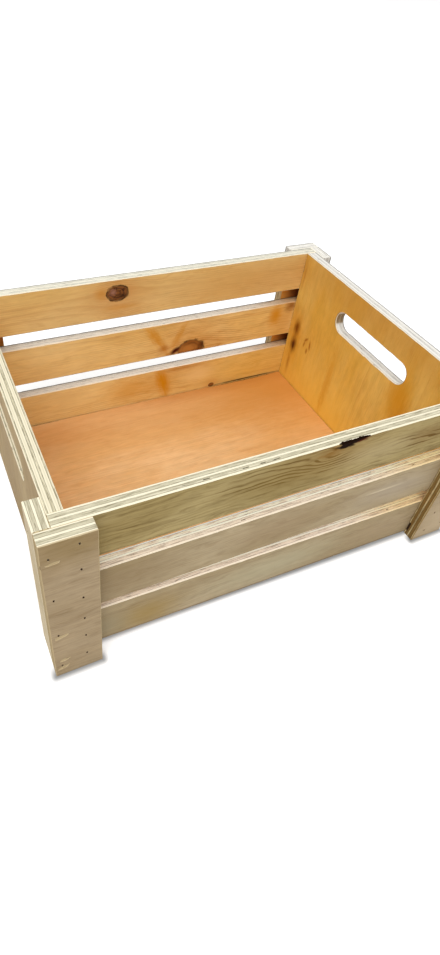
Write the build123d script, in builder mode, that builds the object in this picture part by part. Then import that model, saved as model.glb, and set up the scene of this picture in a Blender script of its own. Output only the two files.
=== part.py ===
# Open toy box of plywood boards: two slatted long walls, two solid end panels with hand slots,
# an L-shaped post of two boards at each corner, an inset floor, and the brads that join them.
# Millimetres, Z up. The origin is on the ground below the middle of the box, with X along the slats.
import os

from build123d import *

# Walls: three slats at the front and back, over the edges of the end panels
board_thick = 12.0
slat_length = 400.0
box_depth = 300.0
slat_width = 46.5
low_slat_width = 50.0
slat_gap = 18.0
foot_clear = 1.0
front_low_lift = 11.5

# Corner posts: the face board covers the slat ends, the side board the end panel
post_face_width = 40.0
post_side_width = 28.0

# Hand slots in the end panels, with rounded rims
slot_length = 120.0
slot_height = 25.0
slot_drop = 30.0
slot_ease = 1.0

# Floor, inset between the walls
floor_thick = 6.0
floor_gap = 0.6

# Sanded arris on every board
edge_ease = 0.4

# Brads: flat nails with a T head and a chisel point, sunk below the face
brad_width = 1.3
brad_thick = 1.0
brad_head_width = 2.0
brad_head_height = 0.8
brad_point = 1.6
brad_sink = 0.7
brad_fit = 0.05
brad_cover = 1.5
slat_brad_bite = 16.0
floor_brad_bite = 10.0

# Spacing of the brads
post_brad_spread = 29.0
slat_brad_spread = 16.0
face_brad_inset = 13.0
edge_brad_inset = 16.0
edge_brad_count = 4
floor_brad_inset = 28.0
floor_brad_count = 5

# Places that follow from these sizes
end_x = slat_length / 2
wall_y = box_depth / 2
corner_x = end_x + board_thick
corner_y = wall_y + board_thick
panel_width = box_depth - 2 * board_thick
middle_foot = foot_clear + low_slat_width + slat_gap
top_foot = middle_foot + slat_width + slat_gap
box_height = top_foot + slat_width
panel_height = box_height - foot_clear
slot_z = box_height - slot_drop - slot_height / 2
floor_length = slat_length - 2 * board_thick - 2 * floor_gap
floor_width = panel_width - 2 * floor_gap
floor_z = foot_clear + floor_thick / 2

# Each course of slats has a lower edge and a width; walls and ends have a side of the origin
courses = {
    "low": (foot_clear, low_slat_width),
    "middle": (middle_foot, slat_width),
    "top": (top_foot, slat_width),
}
walls = {"front": -1, "back": 1}
ends = {"left": -1, "right": 1}
corners = [(wall, end) for wall in walls for end in ends]


def lift_at(wall, course, x):
    """How far a slat stands above its level place at x: the front low slat climbs to the left."""
    if (wall, course) != ("front", "low"):
        return 0.0
    return front_low_lift * (end_x - x) / slat_length


def slat_middle(wall, course, x):
    """Height of a slat's centre line at x."""
    foot, width = courses[course]
    return foot + width / 2 + lift_at(wall, course, x)


def spread(count, reach):
    """Evenly spaced places from -reach to reach."""
    return [reach * (2 * i / (count - 1) - 1) for i in range(count)]


def spot(x, y, z, outward):
    """Place of a brad that is driven in at a point of the face with this outward normal."""
    return Plane(origin=(x, y, z), x_dir=(0, 0, 1), z_dir=outward).location


def brad(length):
    """One brad driven down from a face at Z = 0."""
    head = -brad_sink
    neck = head - brad_head_height
    tip = head - length
    half_head = brad_head_width / 2
    half_shank = brad_width / 2
    with BuildPart() as stick:
        with BuildSketch(Plane.XZ):
            with BuildLine():
                Polyline(
                    (-half_head, head),
                    (half_head, head),
                    (half_head, neck),
                    (half_shank, neck),
                    (half_shank, tip + brad_point),
                    (0, tip),
                    (-half_shank, tip + brad_point),
                    (-half_shank, neck),
                    (-half_head, neck),
                    close=True,
                )
            make_face()
        extrude(amount=brad_thick / 2, both=True)
    return stick.part


def pocket(length):
    """The slit that a brad leaves in the wood: open at the face, and larger than the brad by its fit."""
    neck = brad_sink + brad_head_height + brad_fit
    tip = brad_sink + length + brad_fit
    with BuildPart() as slit:
        with BuildSketch(Plane.XZ):
            with Locations((0, -neck / 2)):
                Rectangle(brad_head_width + 2 * brad_fit, neck)
            with Locations((0, -tip / 2)):
                Rectangle(brad_width + 2 * brad_fit, tip)
        extrude(amount=brad_thick / 2 + brad_fit, both=True)
    return slit.part


def save(piece, node):
    """Label a finished piece with the name of its node and write its file."""
    piece.part.label = node
    export_step(piece.part, f"parts/{node}.step")


# Post face boards: a pair of brads into each slat, and a row into the edge of the side board
face_spots = {}
edge_spots = {}
for wall, end in corners:
    face_y = walls[wall] * corner_y
    outward = (0, walls[wall], 0)
    pair_x = ends[end] * (corner_x - post_face_width + face_brad_inset)
    row_x = ends[end] * (end_x + board_thick / 2)
    for course in courses:
        middle = slat_middle(wall, course, pair_x)
        pair = spread(2, post_brad_spread / 2)
        face_spots[wall, end, course] = [spot(pair_x, face_y, middle + z, outward) for z in pair]
    row = spread(edge_brad_count, box_height / 2 - edge_brad_inset)
    edge_spots[wall, end] = [spot(row_x, face_y, box_height / 2 + z, outward) for z in row]

# Post side boards: one brad into the end panel beside the middle of each slat
side_spots = {}
for wall, end in corners:
    side_x = ends[end] * corner_x
    side_y = walls[wall] * (wall_y - (board_thick + post_side_width) / 2)
    heights = [slat_middle(wall, course, side_x) for course in courses]
    side_spots[wall, end] = [spot(side_x, side_y, z, (ends[end], 0, 0)) for z in heights]

# Slat ends: a pair of brads into the edge of the end panel
slat_spots = {}
for wall, end in corners:
    panel_x = ends[end] * (end_x - board_thick / 2)
    for course in courses:
        middle = slat_middle(wall, course, panel_x)
        slat_spots[wall, end, course] = [
            spot(panel_x, walls[wall] * wall_y, middle + z, (0, walls[wall], 0))
            for z in spread(2, slat_brad_spread / 2)
        ]

# Floor: a row of brads through each end panel, and one through the low slat at the back
floor_spots = {}
for end, side in ends.items():
    row = spread(floor_brad_count, panel_width / 2 - floor_brad_inset)
    floor_spots[end] = [spot(side * end_x, y, floor_z, (side, 0, 0)) for y in row]
row = spread(floor_brad_count, floor_length / 2 - floor_brad_inset)
floor_spots["back"] = [spot(x, wall_y, floor_z, (0, 1, 0)) for x in row]

post_brad_length = 2 * board_thick - brad_sink - brad_cover
slat_brad_length = board_thick + slat_brad_bite
floor_brad_length = board_thick + floor_brad_bite
post_pocket = pocket(post_brad_length)
slat_pocket = pocket(slat_brad_length)
floor_pocket = pocket(floor_brad_length)

os.makedirs("parts", exist_ok=True)

# Slats
for wall, side in walls.items():
    near_y = side * (wall_y - board_thick / 2) - board_thick / 2
    for course, (foot, width) in courses.items():
        left_foot = foot + lift_at(wall, course, -end_x)
        right_foot = foot + lift_at(wall, course, end_x)
        with BuildPart() as slat:
            with BuildSketch(Plane.XZ.offset(-near_y)):
                with BuildLine():
                    Polyline(
                        (-end_x, left_foot),
                        (end_x, right_foot),
                        (end_x, right_foot + width),
                        (-end_x, left_foot + width),
                        close=True,
                    )
                make_face()
            extrude(amount=-board_thick)
            chamfer(slat.edges(), edge_ease)
            for end in ends:
                with Locations(face_spots[wall, end, course]):
                    add(post_pocket, mode=Mode.SUBTRACT)
                with Locations(slat_spots[wall, end, course]):
                    add(slat_pocket, mode=Mode.SUBTRACT)
            if (wall, course) == ("back", "low"):
                with Locations(floor_spots["back"]):
                    add(floor_pocket, mode=Mode.SUBTRACT)
        save(slat, f"{wall}_slat_{course}")

# End panels
for end, side in ends.items():
    near_x = side * (end_x - board_thick / 2) - board_thick / 2
    with BuildPart() as panel:
        with BuildSketch(Plane.YZ.offset(near_x)):
            with Locations((0, foot_clear + panel_height / 2)):
                Rectangle(panel_width, panel_height)
        extrude(amount=board_thick)
        chamfer(panel.edges(), edge_ease)
        with BuildSketch(Plane.YZ.offset(near_x)):
            with Locations((0, slot_z)):
                SlotOverall(slot_length, slot_height)
        extrude(amount=board_thick, mode=Mode.SUBTRACT)
        fillet(panel.edges(Select.LAST).filter_by(Axis.X, reverse=True), slot_ease)
        for wall in walls:
            with Locations(side_spots[wall, end]):
                add(post_pocket, mode=Mode.SUBTRACT)
            for course in courses:
                with Locations(slat_spots[wall, end, course]):
                    add(slat_pocket, mode=Mode.SUBTRACT)
        with Locations(floor_spots[end]):
            add(floor_pocket, mode=Mode.SUBTRACT)
    save(panel, f"{end}_end_panel")

# Face boards of the corner posts
for wall, end in corners:
    board_x = ends[end] * (corner_x - post_face_width / 2)
    board_y = walls[wall] * (wall_y + board_thick / 2)
    with BuildPart() as face_board:
        with BuildSketch(Plane.XY):
            with Locations((board_x, board_y)):
                Rectangle(post_face_width, board_thick)
        extrude(amount=box_height)
        chamfer(face_board.edges(), edge_ease)
        for course in courses:
            with Locations(face_spots[wall, end, course]):
                add(post_pocket, mode=Mode.SUBTRACT)
        with Locations(edge_spots[wall, end]):
            add(post_pocket, mode=Mode.SUBTRACT)
    save(face_board, f"post_face_board_{wall}_{end}")

# Side boards of the corner posts
for wall, end in corners:
    board_x = ends[end] * (end_x + board_thick / 2)
    board_y = walls[wall] * (wall_y - post_side_width / 2)
    with BuildPart() as side_board:
        with BuildSketch(Plane.XY):
            with Locations((board_x, board_y)):
                Rectangle(board_thick, post_side_width)
        extrude(amount=box_height)
        chamfer(side_board.edges(), edge_ease)
        with Locations(edge_spots[wall, end] + side_spots[wall, end]):
            add(post_pocket, mode=Mode.SUBTRACT)
    save(side_board, f"post_side_board_{wall}_{end}")

# Floor panel, its underside level with the lower edges of the walls
with BuildPart() as floor_panel:
    with BuildSketch(Plane.XY.offset(foot_clear)):
        Rectangle(floor_length, floor_width)
    extrude(amount=floor_thick)
    chamfer(floor_panel.edges(), edge_ease)
    for row in floor_spots.values():
        with Locations(row):
            add(floor_pocket, mode=Mode.SUBTRACT)
save(floor_panel, "floor_panel")

# Brads, grouped by what they hold
post_brad = brad(post_brad_length)
slat_brad = brad(slat_brad_length)
floor_brad = brad(floor_brad_length)

for wall, end in corners:
    with BuildPart() as post_brads:
        for course in courses:
            with Locations(face_spots[wall, end, course]):
                add(post_brad)
        with Locations(edge_spots[wall, end] + side_spots[wall, end]):
            add(post_brad)
    save(post_brads, f"post_brads_{wall}_{end}")

for wall in walls:
    with BuildPart() as slat_brads:
        for end in ends:
            for course in courses:
                with Locations(slat_spots[wall, end, course]):
                    add(slat_brad)
    save(slat_brads, f"slat_brads_{wall}")

with BuildPart() as floor_brads:
    for row in floor_spots.values():
        with Locations(row):
            add(floor_brad)
save(floor_brads, "floor_brads")
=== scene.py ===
"""Dressed model of an open plywood toy box with slatted walls and hand slots in its ends.

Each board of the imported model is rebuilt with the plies, glue lines, core voids and worn
edges of sawn plywood, and each brad as a driven brad in its pit. Lengths are in metres.
"""

import logging
import math
from collections.abc import Callable
from dataclasses import dataclass, field, replace
from enum import Enum
from typing import Any

import bmesh
import bpy
import numpy as np
from mathutils import Matrix, Vector


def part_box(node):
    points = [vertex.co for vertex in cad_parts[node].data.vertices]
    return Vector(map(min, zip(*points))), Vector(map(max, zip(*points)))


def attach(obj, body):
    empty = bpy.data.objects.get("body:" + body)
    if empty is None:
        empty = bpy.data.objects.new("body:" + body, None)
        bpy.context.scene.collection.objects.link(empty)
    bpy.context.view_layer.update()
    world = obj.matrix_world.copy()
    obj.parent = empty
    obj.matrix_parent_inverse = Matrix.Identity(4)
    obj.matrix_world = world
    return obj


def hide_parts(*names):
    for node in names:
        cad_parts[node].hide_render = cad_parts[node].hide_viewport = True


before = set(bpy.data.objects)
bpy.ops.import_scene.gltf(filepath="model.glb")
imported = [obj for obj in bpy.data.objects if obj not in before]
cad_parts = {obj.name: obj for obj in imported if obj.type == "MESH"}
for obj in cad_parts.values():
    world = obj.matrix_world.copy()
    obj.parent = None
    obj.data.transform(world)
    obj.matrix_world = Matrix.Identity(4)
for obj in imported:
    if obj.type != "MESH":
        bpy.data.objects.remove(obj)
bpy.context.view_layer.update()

LOG = logging.getLogger("toy_box")

Color = tuple[float, float, float, float]
Place = tuple[float, float, float]

BODY = "root"
MILLIMETRE = 0.001
WELD = 2e-7
BRAD_WELD = 1e-6

# Plies, as shares of the way from a board's outer face to its inner one
PLY_STEPS = 48
PLY_RINGS = PLY_STEPS + 1
THIN_PLY_RINGS = PLY_STEPS // 2 + 1
PLY_SEAMS = (7 / PLY_STEPS, 20 / PLY_STEPS, 28 / PLY_STEPS, 41 / PLY_STEPS)
PLY_SPLITS = (13 / PLY_STEPS, 35 / PLY_STEPS)
CROSS_PLY_MIDDLE = 13.5 / PLY_STEPS
GLUE_LINE = 0.024
GROOVE_LINE = 0.021
SPLIT_LINE = 0.05
FACE_SHARE = 0.001
LAYER_SHIFT = 3.7

# Outlines of the boards
OUTLINE_STEP = 3.0 * MILLIMETRE
FINE_STEP = 1.0 * MILLIMETRE
ARRIS = 0.5 * MILLIMETRE
CORNER_RADIUS = 0.8 * MILLIMETRE
CORNER_STEPS = 4
CORNER_ZONE = 1.2 * CORNER_RADIUS
CORNER_WEAR = 0.8 * CORNER_RADIUS
SLOT_STEPS = 8
SAW_TOOTH = 0.07 * MILLIMETRE
BARED_DEPTH = 0.15 * MILLIMETRE

# Two unit directions count as the same above this product
SAME_WAY = 0.9

# Recesses in the boards' faces
PIT_SLACK = 0.2 * MILLIMETRE
PIT_REACH = 2.0 * MILLIMETRE
PIT_CLEAR = 0.02 * MILLIMETRE
PIT_RIM = ((-1, -0.8), (-0.5, -1.15), (0.6, -1), (1, -0.7),
           (1.1, 0.8), (0.4, 1.1), (-0.7, 1), (-1.05, 0.5))
CHIP_POINTS = 14
CHIP_RAGGED = (0.72, 1.1)
RECESS_TAPER = 0.9

# What only the boards' tree reads
SPARE_ATTRIBUTES = ("base", "out", "rim", "notch", "shade_and_bark", "hole", "hole_ply", "pit", "give")

# How far a board's own number shifts its veneer along, across and through the grain
CUT_SHIFTS = (0.73, 0.191, 0.31)


def paint(red: int, green: int, blue: int) -> Color:
    """Gives a linear colour from display values of 0 to 255."""
    parts = (value / 255 for value in (red, green, blue))
    return *(part / 12.92 if part <= 0.04045 else ((part + 0.055) / 1.055) ** 2.4
             for part in parts), 1.0


class Side(Enum):
    """The way that a board's outer face looks: out of a wall, or up."""

    FRONT = (0.0, -1.0, 0.0)
    BACK = (0.0, 1.0, 0.0)
    LEFT = (-1.0, 0.0, 0.0)
    RIGHT = (1.0, 0.0, 0.0)
    UP = (0.0, 0.0, 1.0)

    @property
    def word(self) -> str:
        """The side's name as the node names spell it."""
        return self.name.lower()

    @property
    def outward(self) -> Vector:
        """The direction that the side faces."""
        return Vector(self.value)


class GrainRun(Enum):
    """How face grain lies: the axes along it, across it and through the board."""

    WALL = (0, 2, 1)
    END_UPRIGHT = (2, 1, 0)
    END_LEVEL = (1, 2, 0)
    FLOOR = (0, 1, 2)


class SocketKind(Enum):
    """The kinds of socket that the node groups have."""

    FLOAT = "NodeSocketFloat"
    INT = "NodeSocketInt"
    VECTOR = "NodeSocketVector"
    COLOR = "NodeSocketColor"
    GEOMETRY = "NodeSocketGeometry"
    MATERIAL = "NodeSocketMaterial"


Ports = dict[SocketKind, tuple[str, ...]]


def sum_step(operation: str, swapped: bool = False) -> Callable[["Wire", Any], "Wire"]:
    """Makes an arithmetic method for wires.

    Args:
        operation: The Math node's operation.
        swapped: Whether the wire is the second value.

    Returns:
        A method that adds the Math node and gives its result.
    """
    def method(wire: "Wire", other: Any) -> "Wire":
        """Adds the Math node."""
        return wire.draft.math(operation, *((other, wire) if swapped else (wire, other)))
    return method


class Wire:
    """A node's output, which takes plain arithmetic: each step adds a Math node."""

    def __init__(self, draft: "Draft", socket: bpy.types.NodeSocket) -> None:
        """Keeps the socket and the draft of its tree."""
        self.draft = draft
        self.socket = socket

    __add__ = __radd__ = sum_step("ADD")
    __mul__ = __rmul__ = sum_step("MULTIPLY")
    __sub__ = sum_step("SUBTRACT")
    __rsub__ = sum_step("SUBTRACT", swapped=True)
    __truediv__ = sum_step("DIVIDE")


Wires = dict[str, Wire]


class Draft:
    """Adds nodes to a tree and wires their inputs from other nodes or plain values."""

    def __init__(self, tree: bpy.types.NodeTree) -> None:
        """Keeps the tree that the nodes go into."""
        self.tree = tree

    def node(self, kind: str, inputs: dict[str | int, Any] | None = None,
             **settings: Any) -> bpy.types.Node:
        """Adds one node.

        Args:
            kind: The node's type name.
            inputs: Values or wires by input name or number.
            **settings: Properties of the node itself.

        Returns:
            The new node.
        """
        made = self.tree.nodes.new(kind)
        for name, value in settings.items():
            setattr(made, name, value)
        for key, value in (inputs or {}).items():
            if isinstance(value, Wire):
                self.tree.links.new(value.socket, made.inputs[key])
            else:
                made.inputs[key].default_value = value
        return made

    def take(self, kind: str, inputs: dict[str | int, Any] | None = None,
             output: str | int = 0, **settings: Any) -> Wire:
        """Adds one node as node() does and gives one of its outputs."""
        return Wire(self, self.node(kind, inputs, **settings).outputs[output])

    def wires(self, node: bpy.types.Node) -> Wires:
        """Gives all outputs of a node by name."""
        return {socket.name: Wire(self, socket) for socket in node.outputs}

    def math(self, operation: str, *values: Any) -> Wire:
        """Adds a Math node."""
        return self.take("ShaderNodeMath", dict(enumerate(values)), operation=operation)

    def least(self, first: Any, second: Any) -> Wire:
        """Gives the smaller of two values."""
        return self.math("MINIMUM", first, second)

    def most(self, first: Any, second: Any) -> Wire:
        """Gives the larger of two values."""
        return self.math("MAXIMUM", first, second)

    def away(self, value: Wire, middle: Any) -> Wire:
        """Gives how far a value is from a middle."""
        return self.math("ABSOLUTE", value - middle)

    def vector(self, operation: str, *values: Any) -> Wire:
        """Adds a Vector Math node that gives a vector."""
        return self.take("ShaderNodeVectorMath", dict(enumerate(values)), operation=operation)

    def length(self, vector: Wire) -> Wire:
        """Gives the length of a vector."""
        return self.take("ShaderNodeVectorMath", {0: vector}, "Value", operation="LENGTH")

    def scaled(self, vector: Wire, scale: Wire) -> Wire:
        """Multiplies a vector or a colour by one value."""
        return self.take("ShaderNodeVectorMath", {0: vector, "Scale": scale}, operation="SCALE")

    def split(self, vector: Wire) -> list[Wire]:
        """Gives the three parts of a vector."""
        return list(self.wires(self.node("ShaderNodeSeparateXYZ", {0: vector})).values())

    def join(self, *parts: Any) -> Wire:
        """Puts three parts together as a vector."""
        return self.take("ShaderNodeCombineXYZ", dict(enumerate(parts)))

    def noise(self, vector: Wire, scale: float, detail: float = 2.0,
              roughness: float = 0.5) -> Wire:
        """Adds a Noise Texture and gives its value, about 0.5 on average."""
        return self.take("ShaderNodeTexNoise", {
            "Vector": vector, "Scale": scale, "Detail": detail, "Roughness": roughness})

    def drawn_noise(self, vector: Wire, scales: Place, detail: float = 2.0,
                    roughness: float = 0.5) -> Wire:
        """Adds a Noise Texture with a scale of its own for each axis."""
        return self.noise(self.vector("MULTIPLY", vector, scales), 1.0, detail, roughness)

    def ease(self, value: Any, low: Any, high: Any, start: Any = 0.0, end: Any = 1.0) -> Wire:
        """Maps a value from low..high to start..end with soft ends, and holds it there."""
        return self.take("ShaderNodeMapRange", {0: value, 1: low, 2: high, 3: start, 4: end},
                         interpolation_type="SMOOTHSTEP")

    def fall(self, value: Any, low: Any, high: Any) -> Wire:
        """Maps a value from low..high to 1..0 with soft ends."""
        return self.ease(value, low, high, 1.0, 0.0)

    def mix(self, factor: Any, first: Any, second: Any, blend: str = "MIX") -> Wire:
        """Mixes two colours."""
        return self.take("ShaderNodeMix", {0: factor, 6: first, 7: second}, 2,
                         data_type="RGBA", blend_type=blend)

    def attribute(self, name: str) -> Wire:
        """Reads a number that the mesh carries at its points, in a shader."""
        return self.take("ShaderNodeAttribute", output="Fac", attribute_name=name)

    def spot(self) -> Wire:
        """Gives the Object coordinates, in a shader."""
        return self.take("ShaderNodeTexCoord", output="Object")

    def bump(self, height: Wire, strength: float, distance: float) -> Wire:
        """Gives the normal that a height makes."""
        return self.take("ShaderNodeBump", {
            "Strength": strength, "Distance": distance, "Height": height})

    def read(self, name: str, kind: str = "FLOAT") -> Wire:
        """Reads a named attribute, in a geometry tree."""
        return self.take("GeometryNodeInputNamedAttribute", {"Name": name}, "Attribute",
                         data_type=kind)

    def keep(self, geometry: Wire, name: str, value: Wire, kind: str = "FLOAT") -> Wire:
        """Stores a named attribute at the geometry's points and gives the geometry."""
        return self.take("GeometryNodeStoreNamedAttribute", {
            "Geometry": geometry, "Name": name, "Value": value}, data_type=kind, domain="POINT")

    def gather(self, *parts: Wire) -> Wire:
        """Joins geometry.

        Args:
            *parts: The parts, in order.

        Returns:
            The whole.
        """
        made = self.node("GeometryNodeJoinGeometry")
        for part in parts:
            self.tree.links.new(part.socket, made.inputs[0])
        return Wire(self, made.outputs[0])

    def dressed(self, geometry: Wire, finish: Wire) -> Wire:
        """Sets the material of geometry."""
        return self.take("GeometryNodeSetMaterial", {"Geometry": geometry, "Material": finish})

    def group(self, figure: "NodeGroup", inputs: dict[str, Any]) -> Wires:
        """Places a shader group and gives its outputs by name."""
        return self.wires(self.node("ShaderNodeGroup", inputs, node_tree=figure.tree()))


class NodeGroup:
    """A node group that is drawn the first time it is asked for, and then shared."""

    name: str
    kind = "ShaderNodeTree"
    inputs: Ports
    outputs: Ports

    def tree(self) -> bpy.types.NodeTree:
        """Draws the group if it is not there yet.

        Returns:
            The group's tree.
        """
        found = bpy.data.node_groups.get(self.name)
        if found:
            return found
        made = bpy.data.node_groups.new(self.name, self.kind)
        for way, ports in (("INPUT", self.inputs), ("OUTPUT", self.outputs)):
            for kind, names in ports.items():
                for name in names:
                    made.interface.new_socket(name, in_out=way, socket_type=kind.value)
        draft = Draft(made)
        given = draft.wires(draft.node("NodeGroupInput"))
        draft.node("NodeGroupOutput", self.draw(draft, given))
        return made

    def draw(self, draft: Draft, given: Wires) -> Wires:
        """Draws the group.

        Args:
            draft: The group's tree.
            given: The group's inputs by name.

        Returns:
            The group's outputs by name.
        """
        raise NotImplementedError


class VeneerFigure(NodeGroup):
    """Peeled softwood veneer: wandering growth bands, lines, fibres and blotches."""

    name = "Veneer Figure"
    inputs = {SocketKind.VECTOR: ("Grain",),
              SocketKind.FLOAT: ("Pull", "Line Strength", "Band Width", "Wander", "Curl",
                                 "Band Strength", "Fibre Strength", "Blotch Strength",
                                 "Dash Strength"),
              SocketKind.COLOR: ("Pale", "Warm", "Dark")}
    outputs = {SocketKind.COLOR: ("Color",), SocketKind.FLOAT: ("Height", "Late Wood")}

    def draw(self, draft: Draft, given: Wires) -> Wires:
        """Draws the veneer: dark marks over a blotched ground.

        Args:
            draft: The group's tree.
            given: The group's inputs by name.

        Returns:
            The group's outputs by name.
        """
        grain = given["Grain"]

        def fibred(along: float, sideways: float, detail: float = 2.0,
                   roughness: float = 0.5) -> Wire:
            """Gives noise that is drawn out along the fibres."""
            return draft.drawn_noise(grain, (along, sideways, sideways), detail, roughness)

        broad = fibred(2.6, 11.0) - 0.5
        close = fibred(24.0, 75.0) - 0.5
        place = (draft.split(grain)[1] + given["Pull"] + given["Wander"] * broad
                 + given["Curl"] * close)
        phase = place / given["Band Width"]
        tooth = draft.math("FRACT", phase)
        chance = draft.take("ShaderNodeTexWhiteNoise", {"W": draft.math("FLOOR", phase)},
                            noise_dimensions="1D")
        late = (draft.ease(tooth, 0.25, 0.93) * draft.fall(tooth, 0.93, 1.0)
                * draft.ease(fibred(5.0, 26.0), 0.38, 0.62, 0.15, 1.0)
                * draft.ease(chance, 0.0, 1.0, 0.2, 1.0))
        ripple = draft.math("FRACT", phase * 3.3)
        line = (draft.ease(draft.away(ripple, 0.5), 0.22, 0.5)
                * draft.ease(fibred(16.0, 85.0), 0.4, 0.62))
        fibre = fibred(24.0, 800.0, 3.0, 0.6) - 0.5
        mottle = fibred(55.0, 120.0, 3.0, 0.6) - 0.5
        fleck = draft.ease(fibred(80.0, 1400.0, 0.0), 0.68, 0.8)
        swaying = draft.vector("ADD", draft.vector("MULTIPLY", grain, (38.0, 290.0, 290.0)),
                               draft.join(0.0, close * 5.0, 0.0))
        dash = draft.ease(draft.noise(swaying, 1.0, 3.0, 0.62), 0.46, 0.74)
        blotch = draft.ease(fibred(9.0, 22.0, 3.0), 0.36, 0.66)
        color = draft.mix(blotch * given["Blotch Strength"], given["Pale"], given["Warm"])
        for mask, strength in ((late, given["Band Strength"]), (line, given["Line Strength"]),
                               (dash, given["Dash Strength"]), (fleck, 0.22)):
            color = draft.mix(mask * strength, color, given["Dark"])
        shade = fibre * given["Fibre Strength"] + mottle * given["Blotch Strength"] * 0.4 + 1.0
        return {"Color": draft.scaled(color, shade),
                "Height": fibre * 0.8 - late * 0.4 - fleck * 0.4 - dash * 0.3,
                "Late Wood": late}


class KnotFigure(NodeGroup):
    """One knot: its heart, dark rim, rings and cracks, and the grain it pushes aside."""

    name = "Knot Figure"
    inputs = {SocketKind.VECTOR: ("Grain", "Centre"),
              SocketKind.FLOAT: ("Half Length", "Half Width")}
    outputs = {SocketKind.FLOAT: ("Heart", "Rim", "Rings", "Crack", "Glow", "Pull")}

    def draw(self, draft: Draft, given: Wires) -> Wires:
        """Draws the knot by the distance from its middle.

        Args:
            draft: The group's tree.
            given: The group's inputs by name.

        Returns:
            The group's outputs by name.
        """
        grain = given["Grain"]
        along, across, _ = draft.split(draft.vector("SUBTRACT", grain, given["Centre"]))
        long_part = along / given["Half Length"]
        wide_part = across / given["Half Width"]
        long_square = long_part * long_part
        wide_square = wide_part * wide_part
        wobble = draft.noise(grain, 160.0) - 0.5
        reach = draft.math("SQRT", long_square + wide_square) + wobble * 0.34
        broken = draft.ease(draft.noise(grain, 95.0), 0.34, 0.6, 0.25, 1.0)
        turn = draft.math("ARCTAN2", wide_part, long_part)
        ray = draft.math("FRACT", turn * 0.8 + wobble * 1.3)
        glow = draft.math("EXPONENT", (long_square * 0.16 + wide_square * 0.09) * -1.0)
        slope = wide_part / (draft.math("ABSOLUTE", wide_part) + 0.4)
        return {"Heart": draft.fall(reach, 0.82, 1.0),
                "Rim": draft.ease(reach, 0.8, 0.96) * draft.fall(reach, 0.98, 1.08) * broken,
                "Rings": draft.math("SINE", reach * 19.0) * 0.5 + 0.5,
                "Crack": (draft.fall(draft.away(ray, 0.5), 0.0, 0.11)
                          * draft.ease(reach, 0.1, 0.3) * draft.fall(reach, 0.7, 0.9)),
                "Glow": glow,
                "Pull": slope * glow * given["Half Width"] * -1.1}


class PatchFigure(NodeGroup):
    """One ragged, drawn-out patch, such as a stain or a bark pocket."""

    name = "Patch Figure"
    inputs = {SocketKind.VECTOR: ("Grain", "Centre"),
              SocketKind.FLOAT: ("Half Length", "Half Width", "Softness", "Ragged", "Slant")}
    outputs = {SocketKind.FLOAT: ("Mask",)}

    def draw(self, draft: Draft, given: Wires) -> Wires:
        """Draws the mask: 1 inside the patch, falling to 0 outside it.

        Args:
            draft: The group's tree.
            given: The group's inputs by name.

        Returns:
            The group's outputs by name.
        """
        offset = draft.vector("SUBTRACT", given["Grain"], given["Centre"])
        turned = draft.take("ShaderNodeVectorRotate", {
            "Vector": offset, "Angle": given["Slant"] * -1.0}, rotation_type="Z_AXIS")
        along, across, _ = draft.split(turned)
        long_part = along / given["Half Length"]
        wide_part = across / given["Half Width"]
        wobble = draft.drawn_noise(turned, (110.0, 360.0, 360.0), 3.0, 0.6) - 0.5
        reach = (draft.math("SQRT", long_part * long_part + wide_part * wide_part)
                 + wobble * given["Ragged"] * 2.0)
        return {"Mask": draft.fall(reach, 1.0 - given["Softness"],
                                   given["Softness"] * 0.6 + 1.0)}


def cross_ply(draft: Draft, depth: Wire) -> Wire:
    """Gives 1 where a depth lies in one of the two cross plies, and 0 in the others."""
    first, second, third, fourth = (draft.math("GREATER_THAN", depth, seam) for seam in PLY_SEAMS)
    return first - second + (third - fourth)


def seam_line(draft: Draft, depth: Wire, half_width: float,
              seams: tuple[float, ...] = PLY_SEAMS) -> Wire:
    """Tells how near a depth of 0 to 1 through a board is to a glue line.

    Args:
        draft: The tree to add the nodes to.
        depth: The depth, 0 at the outer face and 1 at the inner one.
        half_width: How far from the line the value falls to nothing.
        seams: The depths of the lines.

    Returns:
        1 on a line, falling to 0 away from it.
    """
    nearest, *others = (draft.away(depth, seam) for seam in seams)
    for gap in others:
        nearest = draft.least(nearest, gap)
    return draft.fall(nearest, 0.0, half_width)


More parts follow.
